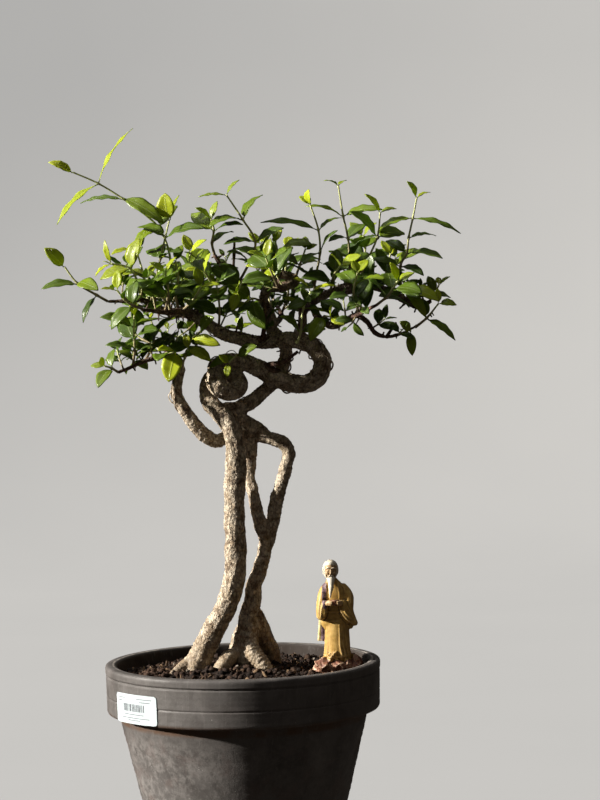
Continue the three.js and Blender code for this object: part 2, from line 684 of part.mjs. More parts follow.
    aims: {
      0: [[171, -20, 569, 10], [124, 0, 586, 9]],
      1: [[188, -24, 584, 12], [139, 14, 604, 9]],
      2: [[185, 8, 607, 8], [142, -28, 609, 9]],
      3: [[206, -10, 607, 7], [130, -14, 610, 10]],
      4: [[158, -14, 655, 8], [180, 0, 646, 5]],
    },
  },
  {
    name: 'right_05', leaf: 26, turn: 80, at: [1, 2],
    stem: [[163, -9, 523], [173, -15, 531], [184, -20, 544]],
    aims: { 0: [[198, -22, 510, 8]], 1: [[200, -20, 542, 9]] },
  },
  {
    name: 'right_06', leaf: 24, turn: 10, at: [1],
    stem: [[158, -9, 521], [158, -19, 519]],
    aims: { 0: [[159, -20, 497, 8], [148, -24, 528, 8]] },
  },
  {
    name: 'right_07', pairs: 3, leaf: 38, first: 0.45, turn: 15,
    stem: [[87, 6, 557], [90, -14, 571], [96, -26, 579]],
  },
  {
    name: 'right_08', pairs: 2, leaf: 34, first: 0.5, turn: 60,
    stem: [[133, 6, 560], [139, 8, 576], [143, 10, 592]],
  },
  {
    name: 'right_09', pairs: 2, leaf: 22, first: 0.5, turn: 35,
    stem: [[176, -7, 546], [182, -4, 554], [186, -2, 562]],
  },
  {
    name: 'right_10', pairs: 2, leaf: 33, first: 0.6, turn: 45,
    stem: [[80, -7, 530], [80, -24, 534], [86, -38, 533]],
  },
  {
    name: 'right_11', leaf: 30, turn: 10, at: [1],
    stem: [[152, 0, 550], [155, -18, 558]],
    aims: { 0: [[184, -30, 545, 13], [172, -24, 531, 9]] },
  },
  // Back and front
  {
    name: 'back_01', pairs: 3, leaf: 35, first: 0.35, turn: 20,
    stem: [[-66, 78, 550], [-78, 84, 562], [-86, 88, 580]],
  },
  {
    name: 'back_02', pairs: 4, leaf: 36, first: 0.32, turn: 55,
    stem: [[-48, 56, 541], [-44, 62, 562], [-46, 64, 584], [-43, 62, 602]],
  },
  {
    name: 'back_03', pairs: 3, leaf: 34, first: 0.4, turn: 0,
    stem: [[-33, 28, 536], [-28, 34, 556], [-32, 36, 576]],
  },
  {
    name: 'back_04', pairs: 3, leaf: 35, first: 0.35, turn: 40,
    stem: [[35, 98, 553], [30, 106, 570], [28, 110, 590]],
  },
  {
    name: 'back_05', pairs: 4, leaf: 37, first: 0.32, turn: 10,
    stem: [[41, 74, 541], [48, 78, 562], [46, 80, 585], [50, 80, 604]],
  },
  {
    name: 'back_06', pairs: 3, leaf: 34, first: 0.4, turn: 70,
    stem: [[37, 44, 533], [30, 50, 556], [28, 54, 577]],
  },
  {
    name: 'back_07', pairs: 3, leaf: 34, first: 0.35, turn: 30,
    stem: [[138, 78, 570], [148, 84, 580], [152, 88, 594]],
  },
  {
    name: 'back_08', pairs: 4, leaf: 35, first: 0.32, turn: 65,
    stem: [[121, 60, 563], [118, 66, 582], [122, 68, 600], [120, 66, 614]],
  },
  {
    name: 'back_09', pairs: 3, leaf: 32, first: 0.35, turn: 15,
    stem: [[-78, 46, 514], [-92, 54, 521], [-104, 60, 532]],
  },
  {
    name: 'front_01', pairs: 3, leaf: 32, first: 0.35, turn: 50,
    stem: [[-77, -78, 541], [-90, -84, 547], [-99, -88, 558]],
  },
  {
    name: 'front_02', pairs: 3, leaf: 33, first: 0.4, turn: 20,
    stem: [[-60, -58, 539], [-56, -66, 556], [-58, -70, 574]],
  },
  {
    name: 'front_03', pairs: 2, leaf: 32, first: 0.5, turn: 60,
    stem: [[-47, -32, 541], [-36, -42, 550], [-28, -50, 562]],
  },
  {
    name: 'front_04', pairs: 3, leaf: 32, first: 0.35, turn: 10,
    stem: [[126, -76, 541], [136, -84, 549], [144, -88, 561]],
  },
  {
    name: 'front_05', pairs: 3, leaf: 33, first: 0.4, turn: 45,
    stem: [[111, -58, 534], [106, -66, 551], [110, -70, 570]],
  },
  {
    name: 'front_06', pairs: 3, leaf: 34, first: 0.4, turn: 30,
    stem: [[40, -64, 560], [36, -76, 568], [30, -82, 584]],
  },
];
const STEM_RADIUS = [1.9, 1];
const STEM_STEP = 24;
const NODE_HEIGHT = 2.2;
const MISSING_SHARE = 0.04;
// The light that the leaves turn their upper sides to.
const LIGHT = new THREE.Vector3(-0.3, -0.62, 0.72);

// What a leaf tries in turn, when it would touch something: a turn round the stem in degrees,
// a change in how far it spreads, and a share of its length.
const TRIES = [
  [0, 0, 1], [16, 0, 1], [-16, 0, 1], [0, 14, 0.95], [0, -14, 0.95], [32, 6, 0.92], [-32, 6, 0.92],
  [20, -16, 0.85], [-20, -16, 0.85], [40, 12, 0.8], [-40, 12, 0.8], [0, 20, 0.7], [0, 0, 0.6],
];

// How a leaf grows, in degrees and in shares of its own or its shoot's size
const SPREAD = 60;
const TIP_SPREAD = 42;
const SPREAD_RANGE = 16;
const RISE = 0.2;
const LEAST_LEAN = 0.42;
const ROLL_RANGE = 36;
const AIMED_ROLL_RANGE = 20;
const TIP_GROWTH = 0.5;
const FIRST_PAIR_GROWTH = 0.84;
const LENGTH_RANGE = [0.88, 1.12];
const WIDTH_RANGE = [0.4, 0.52];
const TIP_WIDTH = 0.46;
const ARCH = 42;
const TIP_ARCH = 25;
const ARCH_RANGE = 30;
const AIMED_ARCH_RANGE = [32, 52];
const PAIR_TURN_RANGE = 24;
const UPPER_SIDE_PULLS = { light: 0.8, tip: 0.3 };

// A shoot's smooth middle line: the share of its length at which each pair of leaves sits, and
// a frame at any share, which is the point, the tangent, and two directions across the stem.
function stemLine({ stem, at, pairs, first }) {
  const curve = new THREE.CatmullRomCurve3(stem.map(vector), false, 'centripetal');
  const lengths = curve.getLengths(200);
  const chord = vector(stem.at(-1)).sub(vector(stem[0])).normalize();
  const reference = Math.abs(chord.x) < 0.85 ? X : Z;
  const shares = at
    ? at.map((i) => lengths[Math.round((200 * i) / (stem.length - 1))] / lengths[200])
    : Array.from({ length: pairs }, (_, pair) => THREE.MathUtils.lerp(first, 1, pair / (pairs - 1)));
  const frame = (share) => {
    const t = curve.getUtoTmapping(share);
    const tangent = curve.getTangent(t);
    const across = reference.clone().addScaledVector(tangent, -reference.dot(tangent)).normalize();
    return { point: curve.getPoint(t), tangent, first: across, second: tangent.clone().cross(across) };
  };
  return { length: lengths[200], shares, frame };
}

function acrossStem({ first, second }, degrees) {
  const angle = radians(degrees);
  return first.clone().multiplyScalar(Math.cos(angle)).addScaledVector(second, Math.sin(angle));
}

// The upper side of a leaf that points along direction. It turns to the light.
function upperSide(direction, tangent, roll) {
  const { light, tip } = UPPER_SIDE_PULLS;
  const up = LIGHT.clone().multiplyScalar(light).addScaledVector(tangent, tip);
  const normal = up.addScaledVector(direction, -up.dot(direction)).normalize();
  return normal.applyAxisAngle(direction, radians(roll));
}

// How one leaf lies: its base, direction, upper side's normal and sizes.
function leafPose(shoot, line, { pair, facing, draws, aim }, [turned, spreads, scale]) {
  const share = line.shares[pair];
  const frame = line.frame(share);
  const outward = acrossStem(frame, facing);
  const radius = THREE.MathUtils.lerp(...STEM_RADIUS, share);
  const base = frame.point.clone().addScaledVector(outward, 0.7 * radius);
  if (aim) return aimedPose(base, frame.tangent, draws, aim, scale);
  const tip = pair === line.shares.length - 1;
  const spread = radians((tip ? TIP_SPREAD : SPREAD) + SPREAD_RANGE * (draws[0] - 0.5) + spreads);
  const direction = frame.tangent.clone().multiplyScalar(Math.cos(spread))
    .addScaledVector(acrossStem(frame, facing + turned), Math.sin(spread))
    .addScaledVector(Z, RISE)
    .normalize();
  const lean = direction.dot(outward);
  if (lean < LEAST_LEAN) direction.addScaledVector(outward, LEAST_LEAN - lean).normalize();
  const normal = upperSide(direction, frame.tangent, ROLL_RANGE * (draws[1] - 0.5));
  const firstGrowth = pair === 0 ? FIRST_PAIR_GROWTH : 1;
  const grown = tip ? TIP_GROWTH : firstGrowth;
  const length = shoot.leaf * grown * THREE.MathUtils.lerp(...LENGTH_RANGE, draws[2]) * scale;
  const width = length * (tip ? TIP_WIDTH : THREE.MathUtils.lerp(...WIDTH_RANGE, draws[3]));
  const arch = radians((tip ? TIP_ARCH : ARCH) + ARCH_RANGE * (draws[4] - 0.5));
  return { base, direction, normal, length, width, arch };
}

// A leaf whose arched blade ends at a chosen point.
function aimedPose(base, tangent, draws, [x, y, z, width], scale) {
  const chord = new THREE.Vector3(x, y, z).sub(base);
  const reach = chord.length() * scale;
  chord.normalize();
  const up = upperSide(chord, tangent, AIMED_ROLL_RANGE * (draws[1] - 0.5));
  const half = radians(THREE.MathUtils.lerp(...AIMED_ARCH_RANGE, draws[4]) / 2);
  const direction = chord.clone().multiplyScalar(Math.cos(half)).addScaledVector(up, Math.sin(half));
  const normal = up.multiplyScalar(Math.cos(half)).addScaledVector(chord, -Math.sin(half));
  const length = (reach * half) / Math.sin(half);
  return { base, direction, normal, length, width: width * scale, arch: 2 * half };
}

// A closed skin under construction: its points and its triangles.
function skin() {
  const positions = [];
  const triangles = [];
  const point = (p) => positions.push(p.x, p.y, p.z) / 3 - 1;
  const quad = (a, b, c, d) => triangles.push(a, b, c, a, c, d);
  const solid = () => solidFrom(positions, triangles);
  const at = (i) => new THREE.Vector3().fromArray(positions, 3 * i);
  return { triangles, point, quad, solid, at };
}

// The share of a blade's length, and of its half width, at each fold across it.
const STATIONS = [[0.34, 1], [0.7, 0.72]];
const SMALL_STATIONS = [[0.45, 1]];
const SMALL_LEAF = 18;
const FOLD = Math.tan(radians(17));

// A point on a blade that is folded along its midrib and arched along its length.
function bladePoint({ base, direction, normal, length, arch }, share, across, lift) {
  const bend = arch * share;
  const up = normal.clone().multiplyScalar(Math.cos(bend)).addScaledVector(direction, Math.sin(bend));
  return base.clone()
    .addScaledVector(direction, (length / arch) * Math.sin(bend))
    .addScaledVector(normal, (length / arch) * (Math.cos(bend) - 1))
    .addScaledVector(direction.clone().cross(normal), across)
    .addScaledVector(up, Math.abs(across) * FOLD + lift);
}

// Adds a thin blade to a skin, out of the four corners of an opening in it. The corners run
// anticlockwise as seen from the blade's tip. fat makes the blade that much thicker all round.
function addBlade({ triangles, point, quad, at }, opening, pose, fat = 0) {
  const right = pose.direction.clone().cross(pose.normal);
  const centre = new THREE.Vector3();
  opening.forEach((i) => centre.addScaledVector(at(i), 0.25));
  const fit = (turn) => [[1, -1], [-1, -1], [-1, 1], [1, 1]].reduce((sum, [r, n], i) => {
    const arm = at(opening[(i + turn) % 4]).sub(centre);
    return sum + r * arm.dot(right) + n * arm.dot(pose.normal);
  }, 0);
  const turn = [0, 1, 2, 3].reduce((best, next) => (fit(next) > fit(best) ? next : best));
  const [q0, q1, q2, q3] = opening.map((_, i) => opening[(i + turn) % 4]);
  const half = BLADE_THICKNESS / 2 + fat;
  let ring = null;
  for (const [share, wide] of pose.length < SMALL_LEAF ? SMALL_STATIONS : STATIONS) {
    const side = (pose.width / 2) * wide + fat;
    const next = [[side, -half], [0, -half], [-side, -half], [-side, half], [0, half], [side, half]]
      .map(([across, lift]) => point(bladePoint(pose, share, across, lift)));
    const [rightLow, low, leftLow, leftHigh, high, rightHigh] = next;
    if (ring) {
      next.forEach((_, i) => quad(ring[i], ring[(i + 1) % 6], next[(i + 1) % 6], next[i]));
    } else {
      triangles.push(q0, q1, low, q0, low, rightLow, q1, leftLow, low);
      quad(q1, q2, leftHigh, leftLow);
      triangles.push(q2, q3, high, q2, high, leftHigh, q3, rightHigh, high);
      quad(q3, q0, rightLow, rightHigh);
    }
    ring = next;
  }
  const under = point(bladePoint(pose, 1, 0, -half));
  const over = point(bladePoint(pose, 1, 0, half));
  const [rightLow, low, leftLow, leftHigh, high, rightHigh] = ring;
  triangles.push(rightLow, low, under, low, leftLow, under, leftHigh, high, over, high, rightHigh, over);
  quad(leftLow, leftHigh, over, under);
  quad(rightHigh, rightLow, under, over);
}

// One blade on its own, for finding out what it would touch. from is the share of its length
// where it starts.
function loneBlade(pose, fat, from) {
  const form = skin();
  const side = BLADE_THICKNESS + fat;
  const right = pose.direction.clone().cross(pose.normal);
  const corners = [[side, -side], [-side, -side], [-side, side], [side, side]];
  const opening = corners.map(([across, lift]) => (
    form.point(bladePoint(pose, from, 0, lift).addScaledVector(right, across))
  ));
  form.quad(opening[3], opening[2], opening[1], opening[0]);
  addBlade(form, opening, pose, fat);
  return form.solid();
}

// A square stem whose faces look out at its leaves, with each blade growing out of its face.
function shootSkin(line, pairAngles, leaves) {
  const form = skin();
  const reach = NODE_HEIGHT / line.length;
  let angle = pairAngles[0];
  let share = 0;
  const addRing = () => {
    const frame = line.frame(share);
    const radius = THREE.MathUtils.lerp(...STEM_RADIUS, share);
    return [-45, 45, 135, 225].map((corner) => form.point(
      frame.point.clone().addScaledVector(acrossStem(frame, angle + corner), radius),
    ));
  };
  let ring = addRing();
  form.quad(ring[3], ring[2], ring[1], ring[0]);
  const grow = (to, open = []) => {
    share = to;
    const next = addRing();
    [0, 1, 2, 3].forEach((k) => {
      const face = [ring[k], ring[(k + 1) % 4], next[(k + 1) % 4], next[k]];
      const leaf = open.find(({ facing }) => Math.round((facing - angle) / 90 + 8) % 4 === k);
      if (leaf) addBlade(form, face, leaf.pose);
      else form.quad(...face);
    });
    ring = next;
  };
  for (let pair = 0; pair < line.shares.length; pair++) {
    const top = pair === line.shares.length - 1 ? 1 : line.shares[pair] + reach / 2;
    const from = share;
    const spans = Math.max(1, Math.round(((top - reach - from) * line.length) / STEM_STEP));
    for (let i = 1; i < spans; i++) grow(THREE.MathUtils.lerp(from, top - reach, i / spans));
    angle = pairAngles[pair] - 90 * Math.round((pairAngles[pair] - angle) / 90);
    grow(top - reach);
    grow(top, leaves.filter((leaf) => leaf.pair === pair));
  }
  form.quad(...ring);
  return form.solid();
}

function near(a, b) {
  return [0, 1, 2].every((i) => a.min[i] < b.max[i] && b.min[i] < a.max[i]);
}

function touches(solid, others) {
  const box = solid.boundingBox();
  return others.some((other) => near(box, other.box) && solid.intersect(other.solid).volume() > 1e-6);
}

// Which way the first leaf of each pair faces, round the stem in degrees.
function pairAngles(shoot, line, draw) {
  return line.shares.map((share, pair) => {
    const jitter = PAIR_TURN_RANGE * (draw() - 0.5);
    const aim = shoot.aims?.[pair];
    if (!aim) return shoot.turn + 90 * (pair % 2) + jitter;
    const { point, first, second } = line.frame(share);
    const reach = vector(aim[0]).sub(point);
    return THREE.MathUtils.radToDeg(Math.atan2(reach.dot(second), reach.dot(first)));
  });
}

// Every shoot's stem first, then its leaves, each turned clear of all that is already there.
function makeShoots(woodGrown) {
  const boxed = (solid) => ({ solid, box: solid.boundingBox() });
  const placed = [boxed(woodGrown)];
  const shoots = SHOOTS.map((shoot, index) => {
    const draw = random(index + 1);
    const line = stemLine(shoot);
    const angles = pairAngles(shoot, line, draw);
    const stem = boxed(largestBody(shootSkin(line, angles, []).subtract(woodGrown)));
    placed.push(stem);
    return { shoot, line, draw, angles, stem };
  });
  return shoots.map(({ shoot, line, draw, angles, stem }) => {
    const leaves = [];
    angles.forEach((angle, pair) => {
      let partner = null;
      for (const side of [0, 1]) {
        const draws = [draw(), draw(), draw(), draw(), draw()];
        const leaf = { pair, facing: angle + 180 * side, draws, aim: shoot.aims?.[pair]?.[side] };
        if (draw() < MISSING_SHARE && !leaf.aim) continue;
        const others = placed.filter((other) => other !== stem && other !== partner);
        const close = partner ? [stem, partner] : [stem];
        const free = TRIES.map((attempt) => leafPose(shoot, line, leaf, attempt)).find((pose) => (
          !touches(loneBlade(pose, GAP, 0.02), others) && !touches(loneBlade(pose, GAP, 0.16), close)
        ));
        if (!free) continue;
        leaves.push({ ...leaf, pose: free });
        partner = boxed(loneBlade(free, 0, 0));
        placed.push(partner);
      }
    });
    const solid = largestBody(shootSkin(line, angles, leaves).subtract(woodGrown));
    return { name: `shoot_${shoot.name}`, colour: shoot.young ? 'young_leaf' : 'leaf', solid, leaves };
  });
}

// Assembly

const wood = makeWood(0);
const woodGrown = makeWood(GAP);
const bonsai = new THREE.Group();
const potted = new THREE.Group();
const crown = new THREE.Group();
potted.add(meshOf('pot', makePot(), 'pot'));
potted.add(meshOf('label', makeLabel(), 'label'));
const soil = makeSoil().subtract(woodGrown).subtract(makeFigureSocket());
potted.add(meshOf('soil', largestBody(soil), 'soil'));
potted.add(meshOf('figurine', makeFigure(), 'figurine'));
crown.add(meshOf('stems_and_boughs', wood, 'wood'));
for (const { name, solid, colour } of makeShoots(woodGrown)) {
  crown.add(meshOf(name, solid, colour));
}
bonsai.add(potted, crown);

export default bonsai;
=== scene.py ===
# A Barbados cherry bonsai in its clay pot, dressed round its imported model.
# Places and sizes are in millimetres until a mesh is made, and the frame is in metres.

import math

import bmesh
import bpy
import numpy as np
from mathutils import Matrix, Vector, noise
from mathutils.bvhtree import BVHTree
from mathutils.kdtree import KDTree


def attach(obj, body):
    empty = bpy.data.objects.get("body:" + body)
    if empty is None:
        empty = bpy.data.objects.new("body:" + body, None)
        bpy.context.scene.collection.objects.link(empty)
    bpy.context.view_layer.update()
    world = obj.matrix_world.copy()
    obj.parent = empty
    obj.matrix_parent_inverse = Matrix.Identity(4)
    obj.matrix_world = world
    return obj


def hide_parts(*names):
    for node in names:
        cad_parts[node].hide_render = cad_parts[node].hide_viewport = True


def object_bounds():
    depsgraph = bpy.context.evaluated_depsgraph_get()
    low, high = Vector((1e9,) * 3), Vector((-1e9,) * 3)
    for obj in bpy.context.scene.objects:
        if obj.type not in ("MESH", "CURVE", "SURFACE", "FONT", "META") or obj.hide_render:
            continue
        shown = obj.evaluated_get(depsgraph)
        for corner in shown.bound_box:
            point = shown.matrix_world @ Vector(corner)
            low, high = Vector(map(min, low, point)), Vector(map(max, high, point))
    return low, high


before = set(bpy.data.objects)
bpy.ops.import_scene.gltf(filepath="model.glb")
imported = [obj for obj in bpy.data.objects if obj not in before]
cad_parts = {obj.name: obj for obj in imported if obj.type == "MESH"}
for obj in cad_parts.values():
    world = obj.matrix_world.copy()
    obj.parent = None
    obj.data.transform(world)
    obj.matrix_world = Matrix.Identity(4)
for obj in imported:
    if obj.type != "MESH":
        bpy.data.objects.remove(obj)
cad_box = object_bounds()

MM = 0.001
POT_HEIGHT = 224
RIM_RADIUS = 125
BAND_HEIGHT = 43
BAND_BOTTOM = POT_HEIGHT - BAND_HEIGHT
BAND_FLARE = 0.7
BODY_TOP_RADIUS = 113.6
SHOULDER_RADIUS = 104.5
MOUTH_RADIUS = 113.5
FOOT_RADIUS = 70
WALL = 9
FLOOR = 9
CREASE_LEVEL = 196.8
GROOVE_LEVEL = 215.6
DRAIN_RADIUS = 7
DRAIN_CIRCLE = 34
DRAIN_HOLES = 4
GAP = 0.4
SOIL_EDGE_LEVEL = 212.5
MOUND_HEIGHT = 8
MOUND_SPREAD = 48
MOUND_AT = (-15, -8)
HEAP_AT = (-84, -12)
LABEL_SIZE = (57, 25.5)
LABEL_ANGLE = 222
LABEL_LEVEL = 194.8
LABEL_TILT = -1
LABEL_CORNER = 2.5
FIGURE_AT = np.array([84, -15, 212], float)

# The middle lines of the stems, roots and boughs, as (x, y, z, radius) points.
LIMBS = [
    [
        (-49, -5, 199, 9), (-45, -6, 211, 12.4), (-40, -7, 224, 11.6), (-33, -8, 239, 11),
        (-24, -10, 256, 10.4), (-14, -12, 274, 9.8), (-6, -14, 297, 10), (-4, -15, 323, 10),
        (-4, -16, 350, 9.5), (-4, -17, 376, 9.5), (-2, -18, 399, 9.8), (-2, -20, 418, 8.6),
        (-5, -20, 433, 8.1), (-12, -15, 445, 8.1), (-21, -8, 454, 8.1), (-26, -1, 463, 8.2),
        (-26, 4, 474, 8.2), (-20, 6, 483, 8.2), (-9, 2, 485, 8.2), (0, -4, 480, 8.2),
        (2, -12, 472, 8.1), (-6, -19, 468, 8.1), (-15, -22, 472, 8.1), (-19, -18, 481, 7.7),
        (-18, -10, 491, 7.7), (-10, -3, 496, 7.7), (3, 0, 496, 7.7), (19, 1, 490, 8.2),
        (34, 0, 481, 8.7), (50, -1, 475, 8.6), (66, -1, 475, 8.6), (76, 0, 484, 8.4), (78, 2, 497, 8.4),
        (69, 5, 509, 8.2), (56, 9, 514, 7.8), (40, 12, 515, 7.3), (23, 12, 513, 6.4), (8, 10, 516, 6.2),
        (-9, 7, 520, 5.9), (-25, 2, 530, 5.5), (-41, -4, 540, 4.8),
    ],
    [
        (-34, -2, 536, 4.6), (-41, -4, 540, 4.6), (-57, -8, 541, 4.1), (-71, -12, 546, 3.6),
        (-84, -15, 553, 2.7), (-100, -17, 552, 2), (-114, -18, 552, 1.6),
    ],
    [
        (4, -2, 202, 9), (4, -3, 218, 11), (4, -3, 236, 11), (5, -2, 251, 9.8), (6, 0, 265, 8.4),
        (10, 0, 277, 8.2), (11, 0, 289, 7.7), (15, 0, 300, 7.1), (19, 1, 312, 6.8), (22, 2, 323, 6.6),
        (23, 1, 332, 6.4), (20, -2, 343, 6.4), (17, -3, 355, 5.9), (14, -2, 369, 5.5),
        (11, 1, 382, 5.5), (9, 6, 393, 5.5), (10, 9, 404, 6), (11, 10, 415, 6.4), (10, 9, 426, 6.4),
        (5, 4, 438, 6.4), (-1, 0, 449, 6.4),
    ],
    [
        (-14, -8, 452, 6.8), (0, 0, 453, 6.8), (13, 6, 459, 6.9), (24, 10, 468, 6.6),
        (35, 14, 479, 6.4), (43, 18, 493, 6), (45, 20, 506, 5.8), (39, 18, 517, 5.5),
        (32, 14, 528, 5.1), (30, 8, 541, 4.6), (26, 2, 552, 4.3), (30, -6, 561, 4.3),
        (43, -11, 562, 4.3), (53, -6, 565, 4.3), (55, 2, 570, 4.1), (45, 7, 574, 4.1),
        (28, 7, 574, 3.9), (14, 2, 571, 3.6), (3, -6, 566, 3.2), (-6, -12, 571, 2.7),
        (-11, -16, 580, 2.3), (-17, -18, 592, 1.8),
    ],
    [
        (24, 2, 328, 6.2), (28, 4, 341, 6.2), (31, 4, 354, 6.4), (34, 4, 369, 6.4), (38, 4, 382, 5.9),
        (43, 4, 399, 5.9), (46, 4, 412, 6.2), (41, 4, 421, 6.2), (32, 5, 424, 5.9), (22, 7, 427, 5.9),
        (13, 10, 432, 6), (1, 13, 432, 6.4), (-11, 10, 427, 6.4), (-21, 4, 424, 6.4),
        (-31, 0, 430, 6.4), (-42, -2, 443, 6.1), (-50, -3, 456, 5.7), (-55, -4, 468, 5.5),
        (-54, -4, 480, 5.2), (-51, -4, 491, 5),
    ],
    [
        (-51, -4, 488, 4.4), (-53, -5, 499, 3.9), (-60, -7, 503, 3.2), (-71, -10, 501, 2.5),
        (-82, -13, 498, 2), (-93, -16, 493, 1.7), (-106, -18, 488, 1.4),
    ],
    [(26, 7, 427, 5.2), (17, 7, 435, 5.6), (8, 3, 441, 5.6), (-1, -4, 446, 5.4)],
    [
        (56, 9, 512, 5), (61, 2, 531, 4.1), (63, -3, 545, 3.8), (70, -5, 543, 3.6), (76, -7, 533, 3.6),
        (88, -8, 526, 3.4), (101, -9, 531, 3.2), (110, -10, 535, 2.9), (119, -11, 529, 2.5),
        (126, -11, 519, 2.3), (136, -11, 515, 1.8), (148, -10, 517, 1.6), (158, -9, 521, 1.4),
        (169, -10, 528, 1.2), (178, -12, 536, 1),
    ],
    [
        (63, -3, 543, 4), (76, 4, 552, 4.1), (92, 8, 559, 3.9), (111, 8, 564, 3.7), (133, 6, 560, 3.7),
        (149, 2, 552, 3.6), (158, -2, 546, 3.2), (168, -5, 542, 2.5), (178, -7, 547, 1.8),
    ],
    [(5, -6, 243, 7.4), (10, -11, 231, 8), (18, -15, 222, 7.4), (28, -18, 205, 5)],
    [(10, 3, 272, 5.4), (15, 8, 258, 7.6), (19, 12, 244, 8.4), (25, 17, 230, 8), (32, 22, 205, 5)],
    [(2, 4, 256, 5.4), (-4, 8, 244, 6), (-8, 12, 230, 5.6), (-13, 16, 206, 4)],
    [(-4, -4, 232, 5), (-13, -12, 227, 7.5), (-21, -18, 215, 7), (-25, -22, 203, 4.6)],
    [(-46, -8, 226, 6), (-58, -14, 218, 4.4), (-70, -20, 208, 3)],
    [(136, -11, 514, 1.6), (141, -8, 521, 1.4), (146, -6, 528, 1.1)],
    [(30, -2, 492, 3), (42, -12, 494, 2.2), (56, -18, 503, 1.5)],
    [(-2, -9, 568, 1.6), (0, -12, 586, 1.4), (1, -13, 608, 1.1)],
    [(24, 10, 514, 2.4), (26, -2, 527, 2), (27, -8, 543, 1.8), (25, -8, 553, 1.6)],
    [(-25, 2, 530, 4.2), (-33, 28, 536, 3.4), (-48, 56, 541, 2.6), (-66, 78, 550, 1.5)],
    [(-41, -4, 540, 3.6), (-47, -32, 541, 3), (-60, -58, 539, 2.2), (-77, -78, 541, 1.4)],
    [(32, 14, 528, 4), (37, 44, 533, 3.2), (41, 74, 541, 2.4), (35, 98, 553, 1.4)],
    [(92, 8, 559, 3.2), (103, 36, 559, 2.6), (121, 60, 563, 2), (138, 78, 570, 1.3)],
    [(88, -8, 526, 3), (97, -35, 529, 2.5), (111, -58, 534, 2), (126, -76, 541, 1.3)],
    [(43, -11, 562, 3.4), (45, -38, 559, 2.7), (40, -64, 560, 1.8)],
    [(-53, -5, 499, 3), (-62, 22, 506, 2.3), (-78, 46, 514, 1.5)],
]

